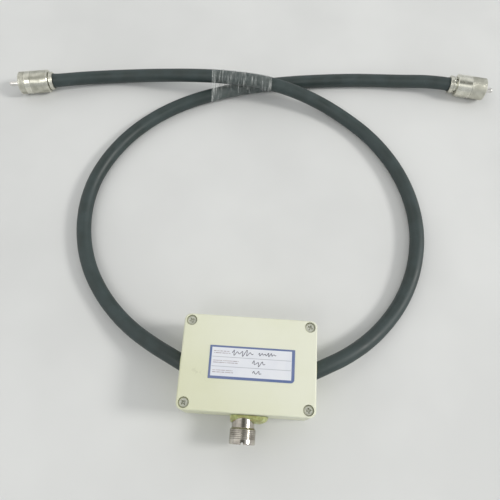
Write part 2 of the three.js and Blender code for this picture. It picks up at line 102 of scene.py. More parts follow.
# Quads between neighbouring points of a grid of rows and columns. The UV map runs round the columns and
# along the rows, in metres where size gives the two lengths. The groove value says how deep in a hollow each
# point is, from 0 to 1, and on a screw head's rim and a plug's back face it is painted shade.
def gridMesh(name, grid, loopRows=False, loopColumns=True, size=(1, 1), grooveAndShade=None, sharp=35):
    rows, columns = grid.shape[:2]
    rowSteps = np.arange(rows if loopRows else rows - 1)
    columnSteps = np.arange(columns if loopColumns else columns - 1)
    i, j = [a.ravel() for a in np.meshgrid(rowSteps, columnSteps, indexing="ij")]
    cornerRows = np.stack([i, i, i + 1, i + 1], axis=1)
    cornerColumns = np.stack([j, j + 1, j + 1, j], axis=1)
    faces = (cornerRows % rows) * columns + cornerColumns % columns
    mesh = bpy.data.meshes.new(name)
    mesh.from_pydata(grid.reshape(-1, 3), [], faces.tolist())
    u = cornerColumns / len(columnSteps) * size[0]
    v = cornerRows / len(rowSteps) * size[1]
    layer = mesh.uv_layers.new(name="around")
    layer.data.foreach_set("uv", np.stack([u, v], axis=-1).astype(np.float32).ravel())
    deep = np.zeros(rows * columns) if grooveAndShade is None else np.broadcast_to(grooveAndShade, (rows, columns)).ravel()
    mesh.attributes.new("grooveAndShade", "FLOAT", "POINT").data.foreach_set("value", deep.astype(np.float32))
    return closed(mesh, sharp)


# Merges seams and poles, turns the faces outwards and smooths what is flatter than the sharp angle.
def closed(mesh, sharp=35):
    work = bmesh.new()
    work.from_mesh(mesh)
    bmesh.ops.remove_doubles(work, verts=work.verts, dist=1e-6)
    bmesh.ops.dissolve_degenerate(work, edges=work.edges, dist=1e-7)
    bmesh.ops.recalc_face_normals(work, faces=work.faces)
    work.to_mesh(mesh)
    work.free()
    mesh.shade_smooth()
    mesh.set_sharp_from_angle(angle=math.radians(sharp))
    return mesh


# Several meshes as one, the first keeping its name
def joined(first, *others):
    work = bmesh.new()
    for mesh in (first, *others):
        work.from_mesh(mesh)
    work.to_mesh(first)
    work.free()
    return first


# A copy of a CAD node's mesh with its loose triangles merged
def mergedNode(name, node, sharp=35):
    mesh = frame["nodes"][node].data.copy()
    mesh.name = name
    mesh.materials.clear()
    mesh.attributes.new("grooveAndShade", "FLOAT", "POINT")
    return closed(mesh, sharp)


def place(name, mesh, material, body, replaced=()):
    piece = bpy.data.objects.new(name, mesh)
    bpy.context.scene.collection.objects.link(piece)
    mesh.materials.clear()
    mesh.materials.append(material)
    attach(piece, body)
    if replaced:
        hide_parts(*replaced)
    return piece


# A piece that keeps its CAD node's own shape
def placeNode(name, node, material, body, sharp=35):
    return place(name, mergedNode(name, node, sharp), material, body, [node])

# A small bevel on every edge sharper than 30 degrees, with the flat faces' shading kept level
def rounded(piece, width):
    edge = piece.modifiers.new("edge", "BEVEL")
    edge.width = width
    edge.segments = 2
    edge.limit_method = "ANGLE"
    edge.angle_limit = math.radians(30)
    edge.harden_normals = True
    level = piece.modifiers.new("level", "WEIGHTED_NORMAL")
    level.keep_sharp = True

# Each corner of a profile becomes a short curve that starts and ends at most rounding away from it: the
# square-weighted mean of the start, the corner and the end.
def softProfile(corners, rounding, loop=True, steps=4):
    middle = np.array(corners, float)
    before, after = np.roll(middle, 1, axis=0), np.roll(middle, -1, axis=0)
    pulls = []
    for near in (before, after):
        length = np.linalg.norm(near - middle, axis=1, keepdims=True)
        pulls.append(middle + (near - middle) * np.minimum(rounding / np.maximum(length, 1e-9), 0.45))
    t = np.linspace(0, 1, steps)[None, :, None]
    start, end = pulls[0][:, None], pulls[1][:, None]
    curve = (1 - t) ** 2 * start + 2 * t * (1 - t) * middle[:, None] + t**2 * end
    if loop:
        return curve.reshape(-1, 2)
    return np.concatenate([middle[:1], curve[1:-1].reshape(-1, 2), middle[-1:]])


# The profile with points added so that no step is longer than the given one
def filled(profile, step):
    lengths = np.linalg.norm(np.diff(profile, axis=0), axis=1)
    along = np.concatenate([[0], np.cumsum(lengths)])
    even = np.linspace(0, along[-1], int(along[-1] / step) + 1)
    at = np.unique(np.round(np.concatenate([along, even]), 7))
    return np.stack([np.interp(at, along, profile[:, k]) for k in range(profile.shape[1])], axis=1)


# Points at the given radius from a line and the given place along it, one column for each angle. Radius and
# place are one column, or a table over profile and angle.
def latheGrid(radius, placeAlong, origin, direction, angles):
    along = unit(np.array(direction, float))
    helper = np.array([0, 0, 1.0]) if abs(along[2]) < 0.9 else np.array([0, 1.0, 0])
    side = unit(np.cross(helper, along))
    ring = np.cos(angles)[:, None] * side + np.sin(angles)[:, None] * np.cross(along, side)
    radius, placeAlong = np.broadcast_arrays(radius, placeAlong)
    shape = (len(radius), len(angles))
    radius, placeAlong = np.broadcast_to(radius, shape), np.broadcast_to(placeAlong, shape)
    return np.array(origin) + placeAlong[..., None] * along + radius[..., None] * ring


def angleSteps(count):
    return np.arange(count) * turn / count


# A plain turned piece: its corners, in millimetres, are rounded and carried round the line. The profile is
# closed into a loop unless it starts on the line.
def turnedMesh(name, corners, rounding, origin, direction, sides):
    loop = corners[0][0] > 0
    profile = softProfile(np.array(corners) * mm, rounding, loop=loop)
    radius, placeAlong = profile[:, :1], profile[:, 1:]
    grid = latheGrid(radius, placeAlong, origin, direction, angleSteps(sides))
    size = (turn * radius.max(), np.linalg.norm(np.diff(profile, axis=0), axis=1).sum())
    return gridMesh(name, grid, loopRows=loop, size=size)

# A smooth line through the points: each span is the cubic whose slope at a point is half the step between
# that point's neighbours. The line then gets points an even step apart.
def smoothLine(points, step, perSpan=16):
    points = np.array(points, float)
    ends = [2 * points[0] - points[1]], [2 * points[-1] - points[-2]]
    p = np.concatenate([ends[0], points, ends[1]])
    a, b, c, d = [p[k : len(p) - 3 + k][:, None] for k in range(4)]
    t = (np.arange(perSpan) / perSpan)[None, :, None]
    cubic = (2 * b + (c - a) * t + (2 * a - 5 * b + 4 * c - d) * t**2 + (3 * b - a - 3 * c + d) * t**3) / 2
    line = np.concatenate([cubic.reshape(-1, 3), points[-1:]])
    along = np.concatenate([[0], np.cumsum(np.linalg.norm(np.diff(line, axis=0), axis=1))])
    even = np.linspace(0, along[-1], int(along[-1] / step) + 1)
    return np.stack([np.interp(even, along, line[:, k]) for k in range(3)], axis=1)


def lengthOf(line):
    return np.linalg.norm(np.diff(line, axis=0), axis=1).sum()


# The level and the rising direction square to a line at each of its points
def squareTo(line):
    forward = unit(np.gradient(line, axis=0))
    level = unit(np.cross([0, 0, 1.0], forward))
    return level, np.cross(forward, level)


# A ring of points round each point of a line, at the given radius: the line's point plus the radius times
# the cosine of the angle along the level direction and the sine along the rising one
def tubeGrid(line, radius, sides):
    level, rise = squareTo(line)
    angles = angleSteps(sides)
    ring = np.cos(angles)[None, :, None] * level[:, None] + np.sin(angles)[None, :, None] * rise[:, None]
    radius = np.broadcast_to(radius, (len(line), sides))
    grid = line[:, None] + radius[..., None] * ring
    start, end = [np.broadcast_to(line[k], (1, sides, 3)) for k in (0, -1)]
    return np.concatenate([start, grid, end])


def tubeMesh(name, line, radius, sides, sharp=50):
    size = (turn * np.max(radius), lengthOf(line))
    return gridMesh(name, tubeGrid(line, radius, sides), size=size, sharp=sharp)


# 0 before start, 1 after end, and a smooth cubic between
def ease(value, start, end):
    t = np.clip((value - start) / (end - start), 0, 1)
    return t * t * (3 - 2 * t)


# A triangle wave: 0 at whole numbers and 1 half way between
def triangle(value):
    return 1 - np.abs(2 * (value % 1) - 1)


# A smooth uneven value for each place: the mean of sine waves with seeded directions and starts
def uneven(places, wavelength, seed, waves=7):
    draw = np.random.default_rng(seed)
    facing = unit(draw.normal(size=(waves, places.shape[-1])))
    stretch = draw.uniform(0.6, 1.6, waves) * turn / wavelength
    start = draw.uniform(0, turn, waves)
    return np.sin(places @ (facing * stretch[:, None]).T + start).mean(axis=-1)


# ---- node helpers and shared groups

def addNode(tree, kind, settings=None, **values):
    node = tree.nodes.new(kind)
    for name, value in (settings or {}).items():
        setattr(node, name, value)
    for name, value in values.items():
        socket = node.inputs[name.replace("_", " ")]
        if isinstance(value, bpy.types.NodeSocket):
            tree.links.new(value, socket)
        else:
            socket.default_value = value
    return node


def calc(tree, operation, first, second=0.0):
    node = addNode(tree, "ShaderNodeMath", {"operation": operation})
    for socket, value in zip(node.inputs, (first, second)):
        if isinstance(value, bpy.types.NodeSocket):
            tree.links.new(value, socket)
        else:
            socket.default_value = value
    return node.outputs[0]

# The sum of each value times its number
def weighed(tree, *terms):
    parts = [value if weight == 1 else calc(tree, "MULTIPLY", value, weight) for value, weight in terms]
    total = parts[0]
    for part in parts[1:]:
        total = calc(tree, "ADD", total, part)
    return total

def fade(tree, value, low, high, toLow=0.0, toHigh=1.0):
    node = addNode(tree, "ShaderNodeMapRange", {"interpolation_type": "SMOOTHSTEP"}, Value=value)
    for name, number in (("From Min", low), ("From Max", high), ("To Min", toLow), ("To Max", toHigh)):
        node.inputs[name].default_value = number
    return node.outputs["Result"]


def blendColours(tree, amount, first, second):
    node = addNode(tree, "ShaderNodeMix", {"data_type": "RGBA"})
    for socket, value in ((node.inputs[0], amount), (node.inputs[6], first), (node.inputs[7], second)):
        if isinstance(value, bpy.types.NodeSocket):
            tree.links.new(value, socket)
        else:
            socket.default_value = (*value, 1) if isinstance(value, tuple) else value
    return node.outputs[2]


def newGroup(name, inputs, outputs):
    group = bpy.data.node_groups.new(name, "ShaderNodeTree")
    for label, value in inputs.items():
        kind = "NodeSocketVector" if label == "Vector" else "NodeSocketFloat"
        socket = group.interface.new_socket(name=label, in_out="INPUT", socket_type=kind)
        if label != "Vector":
            socket.default_value = value
    for label in outputs:
        group.interface.new_socket(name=label, in_out="OUTPUT", socket_type="NodeSocketFloat")
    return group, group.nodes.new("NodeGroupInput").outputs, group.nodes.new("NodeGroupOutput").inputs


# Soft blotches, a fine grain and thin random scratches, each from 0 to 1
def makeSurfaceGroup():
    defaults = {"Vector": None, "Blotch Scale": 60.0, "Grain Scale": 2500.0, "Scratch Scale": 160.0}
    group, given, out = newGroup("surface detail", defaults, ("Blotch", "Grain", "Scratch"))
    vector = given["Vector"]
    blotch = addNode(group, "ShaderNodeTexNoise", Vector=vector, Scale=given["Blotch Scale"], Detail=3.0)
    grain = addNode(group, "ShaderNodeTexNoise", Vector=vector, Scale=given["Grain Scale"], Detail=2.0)
    warp = addNode(group, "ShaderNodeTexNoise", Vector=vector, Scale=given["Scratch Scale"], Detail=1.0)
    line = calc(group, "ABSOLUTE", calc(group, "SUBTRACT", warp.outputs["Fac"], 0.5))
    thin = fade(group, line, 0.0, 0.006, 1.0, 0.0)
    patchy = fade(group, blotch.outputs["Fac"], 0.52, 0.62)
    group.links.new(fade(group, blotch.outputs["Fac"], 0.32, 0.68), out["Blotch"])
    group.links.new(grain.outputs["Fac"], out["Grain"])
    group.links.new(calc(group, "MULTIPLY", thin, patchy), out["Scratch"])
    return group


# Fine lines that run along the first UV direction, from 0 to 1, for turned and drawn metal and for vinyl
def makeLinesGroup():
    defaults = {"Vector": None, "Across": 4000.0, "Along": 60.0}
    group, given, out = newGroup("drawn lines", defaults, ("Lines",))
    stretch = addNode(group, "ShaderNodeCombineXYZ", X=given["Along"], Y=given["Across"])
    scaled = addNode(group, "ShaderNodeVectorMath", {"operation": "MULTIPLY"})
    group.links.new(given["Vector"], scaled.inputs[0])
    group.links.new(stretch.outputs[0], scaled.inputs[1])
    lines = addNode(group, "ShaderNodeTexNoise", Vector=scaled.outputs[0], Scale=1.0, Detail=2.0)
    group.links.new(lines.outputs["Fac"], out["Lines"])
    return group


surfaceGroup = makeSurfaceGroup()
linesGroup = makeLinesGroup()


def useGroup(tree, group, vector, **values):
    node = addNode(tree, "ShaderNodeGroup", {"node_tree": group})
    tree.links.new(vector, node.inputs["Vector"])
    for name, value in values.items():
        node.inputs[name.replace("_", " ")].default_value = value
    return node.outputs


# A material with its shader, its node tree, its coordinates and its surface detail. The scales are those of
# the blotches, the grain and the scratches.
def startMaterial(name, scales, **values):
    material = bpy.data.materials.new(name)
    material.use_nodes = True
    tree = material.node_tree
    tree.nodes.clear()
    shader = addNode(tree, "ShaderNodeBsdfPrincipled")
    for label, value in values.items():
        shader.inputs[label.replace("_", " ")].default_value = value
    output = addNode(tree, "ShaderNodeOutputMaterial")
    tree.links.new(shader.outputs[0], output.inputs["Surface"])
    coordinates = addNode(tree, "ShaderNodeTexCoord").outputs
    detail = dict(zip(("Blotch_Scale", "Grain_Scale", "Scratch_Scale"), scales))
    marks = useGroup(tree, surfaceGroup, coordinates["Object"], **detail)
    return material, tree, shader, coordinates, marks

def bump(tree, shader, height, distance):
    node = addNode(tree, "ShaderNodeBump", Height=height, Strength=1.0, Distance=distance)
    tree.links.new(node.outputs[0], shader.inputs["Normal"])

# Roughness that runs from low to high with the blotches
def roughen(tree, shader, marks, low, high):
    tree.links.new(fade(tree, marks["Blotch"], 0.0, 1.0, low, high), shader.inputs["Roughness"])

def grooveAndShadeOf(tree):
    return addNode(tree, "ShaderNodeAttribute", {"attribute_name": "grooveAndShade"}).outputs["Fac"]


# ---- finishes

creamSet = {
    "scales": (38.0, 1500.0, 90.0),
    "fresh": (0.79, 0.80, 0.665),
    # Colour of the yellowed blotches and of the painted shade in one corner
    "agedAndShaded": (0.68, 0.69, 0.49),
    "grime": (0.42, 0.41, 0.30),
    # How far the corner's painted shade reaches and how dark it gets
    "cornerShadeFrom": 70 * mm,
    "cornerShade": 0.75,
    "blotchAge": 0.22,
    "scuffs": 0.25,
    "roughness": (0.38, 0.52),
    "bump": 0.03 * mm,
}

# Satin moulded plastic with painted shade that darkens and yellows it towards one corner, yellowed blotches,
# faint scuffs and orange-peel bumps
def makeCreamPlastic():
    s = creamSet
    material, tree, shader, coordinates, marks = startMaterial(
        "creamPlastic", s["scales"], Specular_IOR_Level=0.45
    )
    axes = addNode(tree, "ShaderNodeSeparateXYZ", Vector=coordinates["Object"]).outputs
    diagonal = calc(tree, "ADD", axes[0], axes[1])
    # The corner fade is painted shade: darker and yellower towards the near left corner, away from the key
    # light
    corner = fade(tree, diagonal, -s["cornerShadeFrom"], 0.4 * s["cornerShadeFrom"], s["cornerShade"], 0.0)
    agedAndShaded = weighed(tree, (corner, 1), (marks["Blotch"], s["blotchAge"]))
    colour = blendColours(tree, agedAndShaded, s["fresh"], s["agedAndShaded"])
    dirt = calc(tree, "MULTIPLY", marks["Scratch"], s["scuffs"])
    tree.links.new(blendColours(tree, dirt, colour, s["grime"]), shader.inputs["Base Color"])
    roughen(tree, shader, marks, *s["roughness"])
    bump(tree, shader, calc(tree, "SUBTRACT", marks["Grain"], marks["Scratch"]), s["bump"])
    return material

metalSet = {
    "scales": (180.0, 3000.0, 300.0),
    "lines": {"Across": 5000.0, "Along": 80.0},
    # The groove weight darkens tarnish in hollows and the painted shade on screw rims and plugs' back faces
    "tarnishAndShade": (0.45, 0.8),  # in the blotches and in the grooves
    "roughness": (0.08, 0.12, 0.05),  # added by the blotches, the grooves and the turning lines
    "relief": (0.5, 0.4),  # of the turning lines and the grain
    "bump": 0.012 * mm,
}

# A metal's colours run from clean to tarnished by blotches and by the groove value, which is how deep a
# groove is and, on a screw head's rim and a plug's back face, painted shade. Turning lines follow the piece's
# own UV map.
def makeMetal(name, clean, dull, roughness, scales=metalSet["scales"]):
    s = metalSet
    material, tree, shader, coordinates, marks = startMaterial(name, scales, Metallic=1.0)
    grooveAndShade = grooveAndShadeOf(tree)
    drawn = useGroup(tree, linesGroup, coordinates["UV"], **s["lines"])["Lines"]
    # Tarnish from the blotches and the groove value, which also carries painted shade
    wornAndShaded = weighed(tree, (marks["Blotch"], s["tarnishAndShade"][0]), (grooveAndShade, s["tarnishAndShade"][1]))
    colour = blendColours(tree, calc(tree, "MINIMUM", wornAndShaded, 1.0), clean, dull)
    tree.links.new(colour, shader.inputs["Base Color"])
    blotchRough, grooveRough, lineRough = s["roughness"]
    mottled = fade(tree, marks["Blotch"], 0.0, 1.0, roughness, roughness + blotchRough)
    rough = weighed(tree, (mottled, 1), (grooveAndShade, grooveRough), (drawn, lineRough))
    tree.links.new(rough, shader.inputs["Roughness"])
    height = weighed(tree, (drawn, s["relief"][0]), (marks["Grain"], s["relief"][1]))
    bump(tree, shader, calc(tree, "SUBTRACT", height, marks["Scratch"]), s["bump"])
    return material

vinylSet = {
    "scales": (75.0, 1800.0, 120.0),
    "lines": {"Across": 1500.0, "Along": 25.0},
    "dark": (0.008, 0.021, 0.019),
    "faded": (0.022, 0.040, 0.040),
    "dust": (0.12, 0.13, 0.13),
    "dustOn": (0.16, 0.2),  # on the drag marks and in the scratches
    "roughness": (0.48, 0.58),
    "relief": (0.5, 0.5),  # of the drag marks and the grain
    "bump": 0.03 * mm,
}

# Smooth black vinyl with drag marks along the cable, a little dust and a fine grain
def makeVinyl():
    s = vinylSet
    material, tree, shader, coordinates, marks = startMaterial(
        "cableVinyl", s["scales"], Specular_IOR_Level=0.75
    )
    swapped = addNode(tree, "ShaderNodeMapping", {"vector_type": "POINT"}, Vector=coordinates["UV"])
    swapped.inputs["Rotation"].default_value = (0, 0, turn / 4)
    drawn = useGroup(tree, linesGroup, swapped.outputs[0], **s["lines"])["Lines"]
    colour = blendColours(tree, marks["Blotch"], s["dark"], s["faded"])
    dusty = weighed(tree, (fade(tree, drawn, 0.62, 0.8), s["dustOn"][0]), (marks["Scratch"], s["dustOn"][1]))
    tree.links.new(blendColours(tree, dusty, colour, s["dust"]), shader.inputs["Base Color"])
    roughen(tree, shader, marks, *s["roughness"])
    bump(tree, shader, weighed(tree, (drawn, s["relief"][0]), (marks["Grain"], s["relief"][1])), s["bump"])
    return material

solidSet = {
    "scales": (2200.0, 200.0),  # of the grain and the scratches
    "grooveDark": 0.7,
    "roughSpread": 0.12,
}

# A plain plastic, rubber or adhesive with two mottled colours, a darker groove and a fine grain
def makeSolidFinish(name, light, dark, roughness, grain=0.02 * mm, scale=120.0, **values):
    s = solidSet
    material, tree, shader, coordinates, marks = startMaterial(name, (scale, *s["scales"]), **values)
    amount = weighed(tree, (marks["Blotch"], 1), (grooveAndShadeOf(tree), s["grooveDark"]))
    colour = blendColours(tree, calc(tree, "MINIMUM", amount, 1.0), light, dark)
    tree.links.new(colour, shader.inputs["Base Color"])
    roughen(tree, shader, marks, roughness, roughness + s["roughSpread"])
    bump(tree, shader, calc(tree, "SUBTRACT", marks["Grain"], marks["Scratch"]), grain)
    return material

creamPlastic = makeCreamPlastic()
nickel = makeMetal("nickel", (0.80, 0.79, 0.70), (0.40, 0.395, 0.33), 0.2)
socketNickel = makeMetal("socketNickel", (0.66, 0.62, 0.56), (0.17, 0.15, 0.125), 0.13)
brightNickel = makeMetal("brightNickel", (0.86, 0.84, 0.81), (0.50, 0.49, 0.46), 0.16)
screwZinc = makeMetal("screwZinc", (0.72, 0.73, 0.65), (0.38, 0.38, 0.32), 0.44)
contactBrass = makeMetal("contactBrass", (0.72, 0.54, 0.26), (0.33, 0.22, 0.09), 0.28)
bareCopper = makeMetal("bareCopper", (0.75, 0.38, 0.22), (0.30, 0.13, 0.07), 0.3)
tinnedCopper = makeMetal("tinnedCopper", (0.62, 0.58, 0.50), (0.28, 0.22, 0.16), 0.38)
solderMetal = makeMetal(
    "solderMetal", (0.62, 0.63, 0.62), (0.30, 0.30, 0.28), 0.3, scales=(500.0, 3000.0, 300.0)
)
cableVinyl = makeVinyl()
waxyWhite = makeSolidFinish(
    "waxyWhite", (0.80, 0.79, 0.73), (0.68, 0.66, 0.57), 0.38,
    Subsurface_Weight=0.15, Subsurface_Scale=1.5 * mm,
)
sealRubber = makeSolidFinish("sealRubber", (0.05, 0.05, 0.05), (0.025, 0.025, 0.025), 0.6)
agedGlue = makeSolidFinish(
    "agedGlue", (0.56, 0.61, 0.26), (0.29, 0.29, 0.09), 0.28, grain=0.12 * mm, scale=260.0,
    Subsurface_Weight=0.25, Subsurface_Scale=2 * mm, Coat_Weight=0.4, Coat_Roughness=0.15,
)
print("finishes made")


# ---- leads

leadSet = {
    "diameter": 10.3 * mm,
    "sides": 36,
    "step": 2 * mm,
    "ripple": 0.035 * mm,  # unevenness of the jacket
    "swell": 0.35 * mm,  # where the plug grips the jacket
    "swellLength": 3 * mm,
}

# From the jacket's end inside the box to the plug's back face
routes = {
    "lead1": [
        (-0.0335, -0.0041, 0.0150), (-0.0415, 0.0000, 0.0150), (-0.0495, 0.0041, 0.0150),
        (-0.0620, 0.0106, 0.0132), (-0.0772, 0.0200, 0.0093), (-0.0916, 0.0316, 0.0063),
        (-0.1043, 0.0453, 0.0053), (-0.1147, 0.0609, 0.0052), (-0.1220, 0.0779, 0.0052),
        (-0.1262, 0.0959, 0.0052), (-0.1272, 0.1145, 0.0052), (-0.1247, 0.1329, 0.0052),
        (-0.1186, 0.1505, 0.0052), (-0.1096, 0.1668, 0.0052), (-0.0981, 0.1816, 0.0052),
        (-0.0844, 0.1944, 0.0053), (-0.0691, 0.2049, 0.0057), (-0.0525, 0.2134, 0.0062),
        (-0.0351, 0.2201, 0.0065), (-0.0174, 0.2257, 0.0066), (0.0007, 0.2304, 0.0065),
        (0.0190, 0.2344, 0.0060), (0.0374, 0.2376, 0.0055), (0.0559, 0.2401, 0.0052),
        (0.0745, 0.2418, 0.0052), (0.0931, 0.2427, 0.0053), (0.1118, 0.2427, 0.0063),
        (0.1290, 0.2422, 0.0080), (0.1432, 0.2411, 0.0088), (0.1494, 0.2404, 0.0088),
    ],
    "lead2": [
        (0.0335, -0.0041, 0.0150), (0.0415, 0.0000, 0.0150), (0.0495, 0.0041, 0.0150),
        (0.0636, 0.0120, 0.0132), (0.0786, 0.0234, 0.0093), (0.0916, 0.0369, 0.0063),
        (0.1024, 0.0523, 0.0053), (0.1103, 0.0694, 0.0052), (0.1151, 0.0875, 0.0052),
        (0.1168, 0.1062, 0.0052), (0.1151, 0.1249, 0.0052), (0.1103, 0.1430, 0.0052),
        (0.1027, 0.1601, 0.0052), (0.0925, 0.1759, 0.0052), (0.0800, 0.1900, 0.0052),
        (0.0654, 0.2019, 0.0057), (0.0493, 0.2113, 0.0078), (0.0322, 0.2178, 0.0112),
        (0.0142, 0.2219, 0.0149), (-0.0043, 0.2243, 0.0174), (-0.0230, 0.2258, 0.0179),
        (-0.0417, 0.2272, 0.0171), (-0.0604, 0.2285, 0.0150), (-0.0789, 0.2298, 0.0120),
        (-0.0973, 0.2309, 0.0088), (-0.1159, 0.2310, 0.0063), (-0.1345, 0.2290, 0.0059),
        (-0.1510, 0.2250, 0.0076), (-0.1645, 0.2215, 0.0088), (-0.1722, 0.2202, 0.0088),
    ],
}
lines = {lead: smoothLine(points, leadSet["step"]) for lead, points in routes.items()}


# The jacket is a tube whose radius has a slow unevenness and swells by an ease at the plug's end.
def makeJacket(lead, seed):
    line = lines[lead]
    left = lengthOf(line) - np.arange(len(line)) * leadSet["step"]
    grid = tubeGrid(line, leadSet["diameter"] / 2, leadSet["sides"])[1:-1]
    waves = uneven(grid, 22 * mm, seed) * leadSet["ripple"]
    swell = leadSet["swell"] * (1 - ease(left, 0, leadSet["swellLength"]))
    radius = leadSet["diameter"] / 2 - leadSet["ripple"] * 0.4 + waves * 0.6 + swell[:, None]
    return tubeMesh(lead + "_jacket", line, radius, leadSet["sides"])


for seed, lead in enumerate(routes):
    place(
        lead + "_jacket", makeJacket(lead, seed), cableVinyl, "harness", [lead + "_cable"]
    )
print("leads laid:", {lead: round(lengthOf(line), 4) for lead, line in lines.items()})


# ---- plugs

plugJoints = {joint["child"]: joint for joint in frame["joints"] if joint["type"] == "hinge"}
plugSet = {
    "bodyCorners": [  # radius and place from the back face
        (3.9, 0), (6.5, 0), (7.0, 0.5), (7.0, 2.9), (6.3, 3.1), (6.3, 10.9), (7.6, 10.9), (7.6, 15),
        (6.0, 15), (6.0, 19.5), (5.0, 19.5), (5.0, 9), (3.9, 9),
    ],
    "bodyRounding": 0.3 * mm,
    "holePlace": 5.4 * mm,
    "holeRadius": 1.4 * mm,
    "holeDepth": 1.1 * mm,
    "collarTeeth": 44,
    "collarDepth": 0.22 * mm,
    "pinCorners": [
        (0, 9.3), (2, 9.3), (2, 33.6), (1.75, 34.9), (1.1, 35.5), (0.8, 35.5), (0.75, 34.4), (0, 34.2),
    ],
    "insulatorCorners": [(2.3, 9.3), (4.7, 9.3), (4.7, 18.4), (4.3, 18.9), (2.8, 18.9), (2.3, 18.4)],
    "coreCorners": [(0, 0.3), (3.6, 0.3), (3.6, 8.7), (0, 8.7)],
}


def plugLine(lead):
    joint = plugJoints[lead + "_ring"]
    return np.array(joint["pos_m"]), np.array(joint["axis"])


# The plug's body: its profile carried round, less a pit at each of four solder holes. A pit's depth eases to
# nothing over the hole's rim, by the distance round and along from the hole's middle.
def makePlugBody(lead):
    profile = softProfile(np.array(plugSet["bodyCorners"]) * mm, plugSet["bodyRounding"])
    profile = filled(np.concatenate([profile, profile[:1]]), 0.35 * mm)[:-1]
    angles = angleSteps(160)
    radius, placeAlong = profile[:, :1], profile[:, 1:]
    around = (angles[None] + turn / 8) % (turn / 4) - turn / 8
    away = np.hypot(around * radius, placeAlong - plugSet["holePlace"])
    outside = (radius > 5.9 * mm) & (placeAlong < 10 * mm)
    pit = (1 - ease(away, 0.8 * plugSet["holeRadius"], plugSet["holeRadius"])) * outside
    onCollar = (radius > 6.6 * mm) & (placeAlong < 3 * mm)
    teeth = (1 - triangle(angles[None] / turn * plugSet["collarTeeth"])) * onCollar * 0.5
    table = radius - pit * plugSet["holeDepth"] - teeth * plugSet["collarDepth"]
    grid = latheGrid(table, placeAlong, *plugLine(lead), angles)
    grooveAndShade = np.maximum(pit, teeth * 0.6)
    # The back face round the jacket is darkened through the groove value as painted shade in the gap where
    # the jacket meets the body
    grooveAndShade = np.maximum(grooveAndShade, (placeAlong < 0.25 * mm) & (radius < 6 * mm))
    return gridMesh(lead + "_plugShell", grid, loopRows=True, size=(40 * mm, 60 * mm), grooveAndShade=grooveAndShade)


ringSets = {
    "lead1": {  # a plain band at the back and a knurled one in front
        "start": 5.4 * mm,
        "bands": [(12.2, 22.7, 1.15, 0.26)],  # from, to, tooth width and depth, from the ring's back
        "grooves": [(11.8, 0.3, 0.12)],  # place, half width and depth
    },
    "lead2": {  # fine knurling at the back, then a bright plain band and coarse knurling
        "start": 3.2 * mm,
        "bands": [(0.9, 13.0, 0.75, 0.10), (19.0, 22.5, 1.15, 0.30)],
        "grooves": [(13.4, 0.3, 0.15), (18.6, 0.3, 0.15)],
    },
}
ringSet = {
    "length": 23.2 * mm,
    "radius": 8.75 * mm,
    "bore": 7.95 * mm,
    "lipBore": 6.6 * mm,
    "lip": 2.6 * mm,
    "chamfer": 0.6 * mm,
    "pitch": 1.06 * mm,
    "threadDepth": 0.3 * mm,
    "sides": 300,
    "step": 0.22 * mm,
}


# A coupling ring: a closed profile carried round. Diamond knurling lowers the outside by the larger of two
# crossed triangle waves of angle and place, shallow grooves lower it by a bell, and a helical triangle wave
# opens the thread in the bore.
def makeRing(lead):
    own, s = ringSets[lead], ringSet
    end, outer = s["length"], s["radius"]
    corners = [
        (s["lipBore"], 0), (outer - s["chamfer"], 0), (outer, s["chamfer"]), (outer, end - s["chamfer"]),
        (outer - s["chamfer"], end), (s["bore"], end), (s["bore"], s["lip"]), (s["lipBore"], s["lip"]),
    ]
    profile = softProfile(corners, 0.25 * mm)
    profile = filled(np.concatenate([profile, profile[:1]]), s["step"])[:-1]
    angles = angleSteps(s["sides"])
    radius, placeAlong = profile[:, :1], profile[:, 1:]
    outside = ease(radius, outer - 0.5 * mm, outer - 0.1 * mm)
    grooveAndShade = np.zeros((len(profile), len(angles)))
    drop = np.zeros_like(grooveAndShade)
    for low, high, tooth, depth in own["bands"]:
        count = round(turn * outer / (tooth * mm))
        spot = placeAlong / (tooth * mm)
        crossed = [triangle(angles[None] / turn * count + sign * spot) for sign in (1, -1)]
        cutIn = 1 - np.minimum(*crossed)
        band = ease(placeAlong, low * mm, (low + 0.3) * mm)
        band = band * (1 - ease(placeAlong, (high - 0.3) * mm, high * mm))
        drop += cutIn * band * outside * depth * mm
        grooveAndShade = np.maximum(grooveAndShade, cutIn**2 * band * outside)
    for middle, half, depth in own["grooves"]:
        bell = np.exp(-(((placeAlong - middle * mm) / (half * mm)) ** 2)) * outside
        drop += bell * depth * mm
        grooveAndShade = np.maximum(grooveAndShade, bell)
    inside = (radius < s["bore"] + 0.01 * mm) & (placeAlong > s["lip"] + 0.6 * mm)
    thread = triangle(placeAlong / s["pitch"] - angles[None] / turn) * inside
    grooveAndShade = np.maximum(grooveAndShade, thread * 0.8)
    table = radius - drop + thread * s["threadDepth"]
    origin, along = plugLine(lead)
    grid = latheGrid(table, placeAlong, origin + own["start"] * along, along, angles)
    size = (turn * outer, 2 * end)
    return gridMesh(lead + "_couplingRing", grid, loopRows=True, size=size, grooveAndShade=grooveAndShade, sharp=60)


# Four flattened domes of solder, one in each hole of the plug's body
def makeSolderSpots(lead):
    origin, along = plugLine(lead)
    middle = origin + plugSet["holePlace"] * along
    across = unit(np.cross([0, 0, 1.0], along))
    domes = []
    for facing in (across, -across, np.array([0, 0, 1.0]), np.array([0, 0, -1.0])):
        height = np.linspace(0, turn / 4, 7)[:, None]
        radius = np.cos(height) * 1.15 * mm
        rise = 5.15 * mm + np.sin(height) * 0.35 * mm
        radius = np.concatenate([[[0.0], [1.15 * mm]], radius])
        rise = np.concatenate([[[4.9 * mm], [4.9 * mm]], rise])
        domes.append(gridMesh("dome", latheGrid(radius, rise, middle, facing, angleSteps(20))))
    return joined(*domes)


